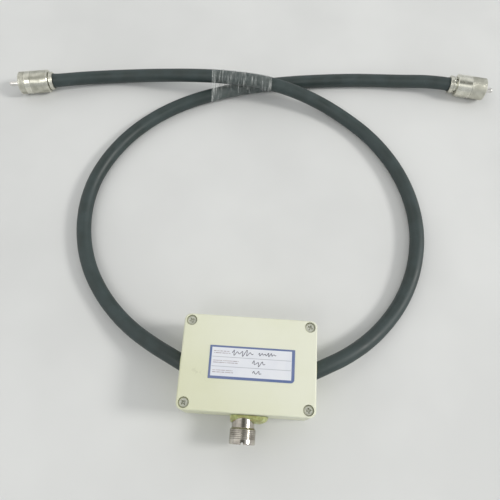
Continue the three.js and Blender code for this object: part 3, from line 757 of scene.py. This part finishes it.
# What is turned inside a plug: corners, rounding, finish, slot and node
plugInsides = {
    "plugPin": (plugSet["pinCorners"], 0.4 * mm, brightNickel, "nickel", "plug_pin"),
    "plugInsulator": (plugSet["insulatorCorners"], 0.2 * mm, waxyWhite, "white_dielectric", "plug_insulator"),
    "plugCore": (plugSet["coreCorners"], 0.2 * mm, waxyWhite, "white_dielectric", "plug_core"),
}

for lead in routes:
    made = [
        place(lead + "_plugShell", makePlugBody(lead), nickel, "harness", [lead + "_plug_body"]),
        place(lead + "_solderSpots", makeSolderSpots(lead), solderMetal, "harness"),
    ]
    for part, (corners, rounding, material, slot, node) in plugInsides.items():
        name = f"{lead}_{part}"
        mesh = turnedMesh(name, corners, rounding, *plugLine(lead), 48)
        made.append(place(name, mesh, material, "harness", [f"{lead}_{node}"]))
    ring = makeRing(lead)
    made.append(place(lead + "_couplingRing", ring, nickel, lead + "_ring", [lead + "_plug_ring"]))
print("plugs made")


# ---- tape round the crossing

tapeSet = {
    "start": -43.5 * mm,
    "end": 4.5 * mm,
    "slack": 0.45 * mm,  # between film and jacket
    "film": 0.08 * mm,
    "stations": 150,
    "sides": 96,
    "wrinkle": 0.16 * mm,
    "seed": 11,
}


# Where each lead passes the planes across X at the tape's stations, on the far side of the loop
def crossingLine(lead, stations):
    line = smoothLine(routes[lead], 0.5 * mm)
    far = line[line[:, 1] > 190 * mm]
    far = far[np.argsort(far[:, 0])]
    return np.stack([np.interp(stations, far[:, 0], far[:, k]) for k in (1, 2)], axis=1)


# The film's section is the outline of two discs: the point at each angle is one disc's centre, whichever
# lies that way, plus the film's radius along the angle. Uneven waves that are short along the leads and long
# round them pull it into wrinkles.
def makeTape():
    s = tapeSet
    stations = np.linspace(s["start"], s["end"], s["stations"])
    low, high = crossingLine("lead1", stations), crossingLine("lead2", stations)
    apart = unit(high - low)
    angles = angleSteps(s["sides"]) + turn / s["sides"] / 2
    c, n = np.cos(angles)[None, :, None], np.sin(angles)[None, :, None]
    square = np.stack([-apart[:, 1], apart[:, 0]], axis=1)
    facing = c * apart[:, None] + n * square[:, None]
    centre = np.where(c > 0, high[:, None], low[:, None])
    spots = np.stack(np.broadcast_arrays(stations[:, None] / (2.6 * mm), np.cos(angles)[None],
                                         np.sin(angles)[None]), axis=-1)
    folds = uneven(spots, 1.0 * turn, s["seed"], 11) + 0.5 * uneven(spots * (2.7, 1.5, 1.5), turn, 5, 9)
    radius = leadSet["diameter"] / 2 + s["slack"] + folds * s["wrinkle"]
    section = centre + radius[..., None] * facing
    ragged = 0.35 * mm * uneven(np.stack([c[0, :, 0], n[0, :, 0]], axis=1) * 3, turn / 2, 3)
    x = np.broadcast_to(stations[:, None], radius.shape).copy()
    x[0] += 0.3 * mm + ragged
    x[-1] -= 0.3 * mm + ragged[::-1]
    grid = np.concatenate([x[..., None], section], axis=-1)
    return gridMesh("tapeFilm", grid, size=(50 * mm, 48 * mm), sharp=70)


filmSet = {
    "scales": (140.0, 1800.0, 220.0),
    "streaks": (1050, 80, 80),
    "clear": (0.62, 0.66, 0.64),
    "pale": (0.86, 0.88, 0.86),
    "alpha": {"base": 0.03, "streak": 0.19, "lastTurn": 0.03, "firstTurn": 0.08, "blotch": 0.02},
    "roughness": (0.18, 0.34),
    "bump": 0.06 * mm,
}

# Clear film with pale streaks round the leads, denser at both ends: partly the film's creases and trapped
# air, partly painted sheen where the wrinkles catch the light
def makeFilmFinish():
    s, alpha = filmSet, filmSet["alpha"]
    material, tree, shader, coordinates, marks = startMaterial(
        "clearFilm", s["scales"], IOR=1.45, Specular_IOR_Level=0.6, Coat_Weight=0.5, Coat_Roughness=0.1
    )
    stretched = addNode(tree, "ShaderNodeMapping", Vector=coordinates["Object"])
    stretched.inputs["Scale"].default_value = s["streaks"]
    noise = addNode(tree, "ShaderNodeTexNoise", Vector=stretched.outputs[0], Scale=1.0, Detail=4.0)
    band = fade(tree, noise.outputs["Fac"], 0.50, 0.66)
    x = addNode(tree, "ShaderNodeSeparateXYZ", Vector=coordinates["Object"]).outputs[0]
    lastTurn = fade(tree, x, tapeSet["end"] - 8 * mm, tapeSet["end"] - 6.5 * mm)
    firstTurn = fade(tree, x, tapeSet["start"] + 4 * mm, tapeSet["start"] + 2 * mm)
    shown = weighed(
        tree, (band, alpha["streak"]), (lastTurn, alpha["lastTurn"]), (firstTurn, alpha["firstTurn"]),
        (marks["Blotch"], alpha["blotch"]),
    )
    tree.links.new(calc(tree, "ADD", shown, alpha["base"]), shader.inputs["Alpha"])
    # The pale streak colour is partly painted sheen of light on the wrinkles
    tree.links.new(blendColours(tree, band, s["clear"], s["pale"]), shader.inputs["Base Color"])
    roughen(tree, shader, marks, *s["roughness"])
    bump(tree, shader, calc(tree, "ADD", noise.outputs["Fac"], marks["Grain"]), s["bump"])
    return material

tapeFilm = place("tapeFilm", makeTape(), makeFilmFinish(), "harness", ["tape_wrap"])
wall = tapeFilm.modifiers.new("film", "SOLIDIFY")
wall.thickness = tapeSet["film"]
wall.offset = 1
print("tape wrapped")


# ---- box, lid and screws

caseSet = {"edge": 0.12 * mm}  # how far its moulded edges are rounded

rounded(placeNode("caseLid", "lid", creamPlastic, "lid_group"), caseSet["edge"])
rounded(placeNode("caseBase", "base_shell", creamPlastic, "harness"), caseSet["edge"])
placeNode("lidGasket", "lid_seal", sealRubber, "lid_group")

screwSet = {
    "headRadius": 3.15 * mm,
    "headHeight": 1.9 * mm,
    "shankRadius": 1.45 * mm,
    "length": 16 * mm,
    "pitch": 0.9 * mm,
    "threadDepth": 0.28 * mm,
    "crossHalf": 0.42 * mm,
    "crossReach": 1.75 * mm,
    "crossDepth": 1.2 * mm,
    "turned": (40, 12, 63, 25),  # degrees that each cross is turned
}


# A screw: a pan head and a threaded shank carried round, less a cross that sinks by how far inside either of
# its two bars a point is. A helical triangle wave cuts the shank.
def makeScrew(name, node, turned):
    s = screwSet
    middle, top = middleOf(node), boxOf(node)[1][2]
    under = top - s["headHeight"]
    bottom = under - s["length"]
    head, shank = s["headRadius"], s["shankRadius"]
    corners = [
        (0, bottom), (shank * 0.9, bottom + 1.4 * mm), (shank, bottom + 2 * mm), (shank, under),
        (head, under), (head, top - 0.5 * mm), (head * 0.78, top - 0.05 * mm), (0, top),
    ]
    profile = filled(softProfile(corners, 0.3 * mm, loop=False), 0.13 * mm)
    angles = angleSteps(96)
    radius, height = profile[:, :1], profile[:, 1:]
    threaded = (height < under - 1 * mm) & (radius > 0.8 * shank)
    thread = triangle(height / s["pitch"] - angles[None] / turn) * threaded
    faceUp = height > top - 0.9 * mm
    x = radius * np.cos(angles - math.radians(turned))
    y = radius * np.sin(angles - math.radians(turned))
    bars = [
        (1 - ease(np.abs(a), s["crossHalf"] * 0.6, s["crossHalf"] * 1.3))
        * (1 - ease(np.abs(b), s["crossReach"] * 0.75, s["crossReach"]))
        for a, b in ((x, y), (y, x))
    ]
    cross = np.maximum(*bars) * faceUp
    table = radius - thread * s["threadDepth"]
    grid = latheGrid(table, height - cross * s["crossDepth"], (middle[0], middle[1], 0), (0, 0, 1), angles)
    # The head's rounded rim is darkened through the groove value as painted shade
    shadedRim = ease(radius, 0.66 * head, 0.9 * head) * 0.25
    grooveAndShade = np.maximum(np.maximum(0.2 * cross, thread), shadedRim)
    return gridMesh(name, grid, size=(18 * mm, 24 * mm), grooveAndShade=grooveAndShade, sharp=40)


for i, turned in enumerate(screwSet["turned"], start=1):
    name, node = f"lidScrew{i}", f"lid_screw_{i}"
    place(name, makeScrew(name, node, turned), screwZinc, "lid_group", [node])
print("box closed")


# ---- label

labelSet = {
    "corner": 2.2 * mm,
    "border": (1.3 * mm, 1.9 * mm, 1.1 * mm, 1.6 * mm),  # left, right, far and near
    "blue": (0.125, 0.18, 0.36),
    "paper": (0.80, 0.815, 0.86),
    "blueShade": (0.16, 0.20, 0.36),
    "paperShade": (0.75, 0.77, 0.83),
    "rule": (0.36, 0.37, 0.42),
    "rows": 3,
    "scales": (90.0, 2600.0, 260.0),
}


# The label's outline is its rectangle, with an arc at the one round corner, as angles go round its middle.
def labelOutline(inset):
    low, high = boxOf("label")
    x0, y0, x1, y1 = low[0] + inset, low[1] + inset, high[0] - inset, high[1] - inset
    bend = turn / 4 * np.linspace(-1, 0, 9)
    r = max(labelSet["corner"] - inset, 0.1 * mm)
    arc = np.stack([x1 - r + r * np.cos(bend), y0 + r + r * np.sin(bend)], axis=1)
    return np.concatenate([[(x0, y0)], arc, [(x1, y1)], [(x0, y1)]])


# Rings of the outline at two heights, closed by the label's middle above and below
def makeLabel():
    (low, high), middle = boxOf("label"), middleOf("label")
    levels = [(None, low[2]), (0, low[2]), (0, high[2] - 0.04 * mm), (0.05 * mm, high[2]), (None, high[2])]
    rings = []
    for inset, height in levels:
        flat = labelOutline(inset or 0)
        if inset is None:
            flat = np.broadcast_to(middle[:2], flat.shape)
        rings.append(np.concatenate([flat, np.full((len(flat), 1), height)], axis=1))
    return gridMesh("printedLabel", np.array(rings))


# White coated paper with a blue border and two rules, all from the distance to the label's edges
def makeLabelFinish():
    low, high = boxOf("label")
    material, tree, shader, coordinates, marks = startMaterial("labelPaper", labelSet["scales"])
    axes = addNode(tree, "ShaderNodeSeparateXYZ", Vector=coordinates["Object"]).outputs
    left, right, far, near = labelSet["border"]
    gaps = [
        calc(tree, "SUBTRACT", axes[0], low[0] + left),
        calc(tree, "SUBTRACT", high[0] - right, axes[0]),
        calc(tree, "SUBTRACT", high[1] - far, axes[1]),
        calc(tree, "SUBTRACT", axes[1], low[1] + near),
    ]
    inner = gaps[0]
    for gap in gaps[1:]:
        inner = calc(tree, "MINIMUM", inner, gap)
    field = fade(tree, inner, -0.04 * mm, 0.04 * mm)
    inside = fade(tree, inner, 0.3 * mm, 0.5 * mm)
    height = (high[1] - far - low[1] - near) / labelSet["rows"]
    colour = blendColours(tree, marks["Blotch"], labelSet["paper"], labelSet["paperShade"])
    for row in range(1, labelSet["rows"]):
        away = calc(tree, "ABSOLUTE", calc(tree, "SUBTRACT", axes[1], low[1] + near + row * height))
        rule = calc(tree, "MULTIPLY", fade(tree, away, 0.10 * mm, 0.22 * mm, 0.8, 0.0), inside)
        colour = blendColours(tree, rule, colour, labelSet["rule"])
    ink = blendColours(tree, marks["Blotch"], labelSet["blue"], labelSet["blueShade"])
    tree.links.new(blendColours(tree, field, ink, colour), shader.inputs["Base Color"])
    roughen(tree, shader, marks, 0.32, 0.48)
    bump(tree, shader, marks["Grain"], 0.008 * mm)
    return material


place("printedLabel", makeLabel(), makeLabelFinish(), "lid_group", ["label"])

inkSet = {
    "caption": (0.36, 0.31, 0.35),
    "pen": (0.10, 0.10, 0.13),
    "lift": 0.012 * mm,
    "captions": [9.5, 15.0, 12.0],  # length in each row
    "bars": (0.45 * mm, 1.15 * mm),  # height of each bar and step between the two
    "waves": [  # row, start, length, height and turns of each pen stroke
        (0, 13.5, 13.0, 4.2, 5), (0, 29.5, 11.0, 2.2, 6), (1, 26.0, 8.0, 3.6, 3), (2, 26.5, 5.5, 2.6, 2),
    ],
}


# A flat ribbon along a line on the label: the line plus and minus half its width to the side
def ribbon(line, width):
    side = unit(np.stack([-np.gradient(line[:, 1]), np.gradient(line[:, 0])], axis=1))
    edges = np.stack([line - side * width / 2, line + side * width / 2], axis=1)
    top = np.full((*edges.shape[:2], 1), boxOf("label")[1][2] + inkSet["lift"])
    return gridMesh("ribbon", np.concatenate([edges, top], axis=-1), loopColumns=False)


def rowMiddles():
    low, high = boxOf("label")
    left, right, far, near = labelSet["border"]
    height = (high[1] - far - low[1] - near) / labelSet["rows"]
    return [high[1] - far - (row + 0.5) * height for row in range(labelSet["rows"])]


# Two broken level bars, one over the other, where a printed caption would stand in each row
def makeCaptions():
    start = boxOf("label")[0][0] + 2.4 * mm
    draw = np.random.default_rng(4)
    height, step = inkSet["bars"]
    bars = []
    for y, length in zip(rowMiddles(), inkSet["captions"]):
        for level in (y - step / 2, y + step / 2):
            breaks = np.sort(draw.uniform(0, length, 4)) * mm
            for low, high in zip(np.append(0, breaks + 0.35 * mm), np.append(breaks, length * mm)):
                x = start + np.linspace(low, max(high, low + 0.5 * mm), 3)
                bars.append(ribbon(np.stack([x, np.full(3, level)], axis=1), height))
    return joined(*bars)


# Pen strokes that mean nothing: a wave whose height swells and fades along the row
def makePenStrokes():
    strokes = []
    middles = rowMiddles()
    start = boxOf("label")[0][0]
    for row, x, length, height, turns in inkSet["waves"]:
        t = np.linspace(0, 1, 120)
        swell = height * mm / 2 * (0.6 + 0.4 * np.sin(turn * (1.7 * t + 0.2)))
        wave = np.sin(turn * turns * t) * swell * ease(t, 0, 0.08)
        line = np.stack([start + (x + length * t) * mm + 0.35 * wave, middles[row] + wave], axis=1)
        strokes.append(ribbon(line, 0.42 * mm))
    return joined(*strokes)


captionInk = makeSolidFinish("captionInk", inkSet["caption"], (0.56, 0.52, 0.55), 0.5, scale=700.0)
penInk = makeSolidFinish("penInk", inkSet["pen"], (0.24, 0.24, 0.28), 0.4, scale=500.0)
place("labelCaptions", makeCaptions(), captionInk, "lid_group")
place("labelPenStrokes", makePenStrokes(), penInk, "lid_group")
print("label stuck on")


# ---- socket and its sealant

socketSet = {
    "corners": [  # radius and distance in front of the box's wall, back to front and back through the bore
        (7.0, -4.8), (7.0, 7.4), (7.35, 7.6), (7.95, 8.3), (7.95, 16.5), (7.5, 17), (6.3, 17), (6.3, 12),
        (5.2, 12), (5.2, -4.8),
    ],
    "threadFrom": 7.9 * mm,
    "threadTo": 14.2 * mm,
    "pitch": 1.06 * mm,
    "threadDepth": 0.10 * mm,
    "notchHalf": 0.75 * mm,
    "notchDepth": 1.3 * mm,
    "flange": 25.4 * mm,
    "flangeThick": 1.8 * mm,
    "holePitch": 9.1 * mm,
}
socketMiddle = middleOf("socket_shell")
wallFace = boxOf("base_shell")[0][1]
socketOrigin = np.array([socketMiddle[0], wallFace, socketMiddle[2]])
outward = (0, -1, 0)


# The socket's barrel: its profile carried round, with a helical triangle wave for the thread and four
# notches that push the rim back where the angle is near a quarter turn.
def makeSocketBarrel():
    s = socketSet
    profile = softProfile(np.array(s["corners"]) * mm, 0.2 * mm)
    profile = filled(np.concatenate([profile, profile[:1]]), 0.14 * mm)[:-1]
    angles = angleSteps(192)
    radius, front = profile[:, :1], profile[:, 1:]
    around = ((angles[None] + turn / 8) % (turn / 4) - turn / 8) * radius
    notch = 1 - ease(np.abs(around), s["notchHalf"] * 0.85, s["notchHalf"] * 1.1)
    inNotch = notch * (radius > 6.2 * mm)
    floor = 17 * mm - s["notchDepth"]
    pushed = np.where((front > floor), front + (floor - front) * inNotch, front)
    zone = ease(front, s["threadFrom"], s["threadFrom"] + 0.8 * mm)
    zone = zone * (1 - ease(front, s["threadTo"] - 0.3 * mm, s["threadTo"]))
    thread = triangle(front / s["pitch"] - angles[None] / turn) * zone * (radius > 7.4 * mm)
    table = radius - thread * s["threadDepth"]
    grid = latheGrid(table, pushed, socketOrigin, outward, angles)
    grooveAndShade = np.maximum(thread * 0.8, inNotch * (front > floor) * 0.9)
    return gridMesh("socketBarrel", grid, loopRows=True, size=(50 * mm, 60 * mm), grooveAndShade=grooveAndShade, sharp=50)


# The square flange inside the wall: each ring is a superellipse of power eight, from the neck to the edge.
def makeFlange():
    s = socketSet
    low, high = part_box("socket_shell")
    angles = angleSteps(96)
    squarish = (np.abs(np.cos(angles)) ** 8 + np.abs(np.sin(angles)) ** 8) ** (-1 / 8)
    back, thick = -(high[1] - wallFace), s["flangeThick"]
    edge, soft = s["flange"] / 2, 0.2 * mm
    rings = [
        (None, back), (edge - soft, back), (edge, back + soft), (edge, back + thick - soft),
        (edge - soft, back + thick), (None, back + thick),
    ]
    radius = np.array([np.full(len(angles), 6.9 * mm) if r is None else r * squarish for r, _ in rings])
    front = np.array([[f] for _, f in rings])
    grid = latheGrid(radius, front, socketOrigin, outward, angles)
    return gridMesh("socketFlange", grid, loopRows=True, size=(90 * mm, 30 * mm))


place("socketBarrel", makeSocketBarrel(), socketNickel, "harness", ["socket_shell"])
place("socketFlange", makeFlange(), nickel, "harness")

# What is turned inside the socket: corners, finish, slot and node
socketInsides = {
    "socketInsulator": (
        [(2.9, -9), (4.9, -9), (4.9, 12), (2.9, 12)],
        waxyWhite, "white_dielectric", "socket_insulator",
    ),
    "socketContact": (
        [
            (0, -10), (1, -10), (1, -13.5), (1.6, -13.5), (1.6, -9), (2.6, -9), (2.6, 11.6), (2.4, 12),
            (2.05, 12), (2.05, 0), (0, 0),
        ],
        contactBrass, "contact_brass", "socket_contact",
    ),
}
for name, (corners, material, slot, node) in socketInsides.items():
    mesh = turnedMesh(name, corners, 0.12 * mm, socketOrigin, outward, 40)
    place(name, mesh, material, "harness", [node])

beadSet = {
    "inner": 7.15 * mm,
    "plug": 7.95 * mm,
    "near": 8.5 * mm,
    "far": 15.3 * mm,
    "low": 1.5 * mm,
    "high": 4.3 * mm,
    "lumps": 0.45 * mm,
}


# Adhesive round the neck: its spread grows towards +X with the cube of the half cosine, its height with the
# square of the cosine, and uneven lumps lie on top.
def makeBead():
    s = beadSet
    angles = angleSteps(120)
    lean = (0.5 + 0.5 * np.cos(angles)) ** 3
    spread = s["near"] + (s["far"] - s["near"]) * lean - s["inner"]
    height = s["low"] + (s["high"] - s["low"]) * np.cos(angles) ** 2
    t = np.linspace(0, 1, 26)[:, None]
    out = spread[None] * np.cos(turn / 4 * t) ** 0.8
    up = height[None] * np.sin(turn / 4 * t) ** 0.9
    radius = s["inner"] + out
    lift = 0.3 * mm + up
    spots = np.stack([radius * np.cos(angles), radius * np.sin(angles), lift], axis=-1)
    lumps = uneven(spots, 5 * mm, 21, 12) * s["lumps"] * np.sin(turn / 2 * np.clip(t, 0, 1)) ** 0.5
    radius, lift = radius + lumps * 0.6, lift + lumps
    back = np.array([[s["inner"], -3.3 * mm], [s["plug"], -3.3 * mm], [s["plug"], 0.3 * mm]])
    radius = np.concatenate([np.broadcast_to(back[:, :1], (3, len(angles))), radius])
    lift = np.concatenate([np.broadcast_to(back[:, 1:], (3, len(angles))), lift])
    across = np.cos(angles)[None, :, None] * np.array([1.0, 0, 0])
    across = across + np.sin(angles)[None, :, None] * np.array([0, 0, 1.0])
    grid = socketOrigin + radius[..., None] * across + lift[..., None] * np.array(outward)
    return gridMesh("neckSealant", grid, loopRows=True, size=(60 * mm, 20 * mm), sharp=70)


place("neckSealant", makeBead(), agedGlue, "harness", ["socket_sealant"])

exitSet = {"inner": 5.3 * mm, "outer": 6.5 * mm, "height": 1.5 * mm, "lump": 1.3 * mm}


# A small fillet of adhesive where a lead leaves its wall: an ellipse round the slanting lead, whose height
# above the wall falls off as a quarter circle, with one larger drip on its near side
def makeExitBead(lead):
    s = exitSet
    inside, hole = np.array(routes[lead][0]), np.array(routes[lead][1])
    wallX = boxOf("base_shell")[1][0] * np.sign(hole[0])
    slope = unit(hole - inside)
    stretch = 1 / abs(slope[0])
    angles = angleSteps(72)
    drip = np.exp(-((((angles - turn * 0.52 + turn / 2) % turn) - turn / 2) / 0.55) ** 2)
    t = np.linspace(0, 1, 12)[:, None]
    spread = (s["outer"] - s["inner"] + s["lump"] * drip)[None]
    lift = s["height"] * (1 + 0.35 * drip)[None] * np.sin(turn / 4 * t)
    radius = s["inner"] + spread * np.cos(turn / 4 * t)
    radius = np.concatenate([np.full((1, len(angles)), s["inner"]), radius])
    lift = np.concatenate([np.full((1, len(angles)), 0.0), lift]) + 0.3 * mm
    y = hole[1] + radius * np.cos(angles) * stretch + lift * slope[1] * stretch
    z = hole[2] + radius * np.sin(angles)
    x = wallX + lift * np.sign(wallX)
    grid = np.stack([x, y, z], axis=-1)
    return gridMesh(lead + "_exitSealant", grid, loopRows=True, size=(40 * mm, 4 * mm), sharp=70)


for lead in routes:
    name = lead + "_exitSealant"
    place(name, makeExitBead(lead), agedGlue, "harness", [lead + "_exit_seal"])
print("socket fitted")


# ---- wiring inside the box

wireSet = {
    "sides": {"lead1": -1, "lead2": 1},
    "copper": {
        "step": 0.6 * mm,
        "strands": 6,
        "offset": 0.68 * mm,
        "strand": 0.36 * mm,
        "core": 0.36 * mm,
        "twist": 14 * mm,  # length of one turn
    },
    "braid": {
        "step": 0.7 * mm,
        "strands": 9,
        "offset": 0.98 * mm,
        "strand": 0.4 * mm,
        "core": 0.66 * mm,
        "twist": 22 * mm,
    },
}

# Strands laid round a core in one long twist: each is a tube whose line is turned about the middle one
def twisted(name, line, own):
    level, rise = squareTo(line)
    along = np.linspace(0, lengthOf(line), len(line))
    meshes = []
    for k in range(own["strands"]):
        angle = (turn * (k / own["strands"] + along / own["twist"]))[:, None]
        strand = line + own["offset"] * (np.cos(angle) * level + np.sin(angle) * rise)
        meshes.append(tubeMesh(name, strand, own["strand"], 8))
    meshes.append(tubeMesh("core", line, own["core"], 8))
    return joined(*meshes)

# The bare conductor's bends, from the dielectric's end to the socket's solder cup
def conductorLine(lead):
    side = wireSet["sides"][lead]
    jacket = np.array(routes[lead][0])
    along = unit(np.array(routes[lead][1]) - jacket)
    bends = [
        jacket - along * 8 * mm,
        (side * 18 * mm, -11.6 * mm, 15.2 * mm),
        (socketMiddle[0] + side * 9.5 * mm, -12.9 * mm, 15.6 * mm),
        (socketMiddle[0] + side * 2.7 * mm, -13 * mm, 15.7 * mm),
    ]
    return smoothLine(bends, wireSet["copper"]["step"])


# The gathered braid's bends, from beside the jacket's end to the tag on the flange
def tailLine(lead):
    side = wireSet["sides"][lead]
    bends = [
        (side * 31.6 * mm, -5.4 * mm, 20.6 * mm), (side * 26 * mm, -10.5 * mm, 23.3 * mm),
        (side * 19 * mm, -17 * mm, 25 * mm), (socketMiddle[0] + side * 11 * mm, -20.4 * mm, 25.6 * mm),
        (socketMiddle[0] + side * 4 * mm, -20.9 * mm, 25.6 * mm),
    ]
    return smoothLine(bends, wireSet["braid"]["step"])


for lead in routes:
    name = lead + "_copperStrands"
    wire = twisted(name, conductorLine(lead), wireSet["copper"])
    place(name, wire, bareCopper, "harness", [lead + "_conductor"])
    name = lead + "_braidStrands"
    tail = twisted(name, tailLine(lead), wireSet["braid"])
    place(name, tail, tinnedCopper, "harness", [lead + "_braid_tail"])
    placeNode(lead + "_foamCore", lead + "_dielectric", waxyWhite, "harness", 50)

rounded(placeNode("groundTag", "ground_tag", contactBrass, "harness"), 0.15 * mm)
solder = placeNode("solderJoint", "solder_joint", solderMetal, "harness", 80)
smooth = solder.modifiers.new("smooth", "SUBSURF")
smooth.levels = smooth.render_levels = 2
print("wiring soldered")


# ---- floor and light

stageSet = {
    "floor": (0.73, 0.735, 0.73),
    "halfFloor": 2.5,
    "sky": (0.56, 0.575, 0.585),
    "patches": [  # facing, cosines of the angles at its edge and its full strength, and colour
        ((-0.05, 0.68, 0.73), 0.78, 0.95, (0.90, 0.91, 0.90)),  # the room's bright end, beyond the leads
        ((-0.62, 0.08, 0.78), 0.62, 0.93, (0.90, 0.90, 0.88)),  # a pale wall on the left
        ((-0.20, -0.55, 0.81), 0.962, 0.988, (2.9, 2.9, 2.83)),  # two windows at the near end
        ((0.20, -0.54, 0.82), 0.97, 0.99, (1.05, 1.05, 1.02)),
        ((0.05, -0.03, 1.0), 0.91, 0.96, (0.13, 0.135, 0.12)),  # whoever leans over the table
    ],
    "aim": (0, 0.1, 0),  # what each light faces
    "lights": {  # place, diameter, power and colour
        "key": ((3.35, 0.15, 2.5), 0.95, 72, (1.0, 0.985, 0.95)),
    },
}


def makeStage():
    half = stageSet["halfFloor"]
    grid = np.array([[(-half, -half, 0), (half, -half, 0)], [(-half, half, 0), (half, half, 0)]], float)
    mesh = gridMesh("floor", grid, loopColumns=False)
    floor = bpy.data.objects.new("floor", mesh)
    bpy.context.scene.collection.objects.link(floor)
    material, tree, shader, coordinates, marks = startMaterial(
        "floorPaper", (9.0, 900.0, 20.0), Roughness=0.75
    )
    low = tuple(0.93 * c for c in stageSet["floor"])
    tree.links.new(blendColours(tree, marks["Blotch"], stageSet["floor"], low), shader.inputs["Base Color"])
    mesh.materials.append(material)


def makeLight(name, where, size, power, colour):
    data = bpy.data.lights.new(name, "AREA")
    data.shape = "DISK"
    data.size = size
    data.energy = power
    data.color = colour
    light = bpy.data.objects.new(name, data)
    back = Vector(where) - Vector(stageSet["aim"])
    light.matrix_world = Matrix.Translation(where) @ back.to_track_quat("Z", "Y").to_matrix().to_4x4()
    bpy.context.scene.collection.objects.link(light)


# A pale room with brighter and darker patches. Each fades out by the dot product of the direction with the
# patch's middle.
def makeWorld():
    world = bpy.data.worlds.new("world")
    bpy.context.scene.world = world
    world.use_nodes = True
    tree = world.node_tree
    facing = addNode(tree, "ShaderNodeTexCoord").outputs["Generated"]
    colour = stageSet["sky"]
    for middle, edge, core, patch in stageSet["patches"]:
        towards = addNode(tree, "ShaderNodeVectorMath", {"operation": "DOT_PRODUCT"})
        tree.links.new(facing, towards.inputs[0])
        towards.inputs[1].default_value = middle
        colour = blendColours(tree, fade(tree, towards.outputs["Value"], edge, core), colour, patch)
    tree.links.new(colour, tree.nodes["Background"].inputs["Color"])


makeStage()
makeWorld()
for name, settings in stageSet["lights"].items():
    makeLight(name, *settings)
bpy.context.scene.view_settings.view_transform = "Standard"
print("stage lit")
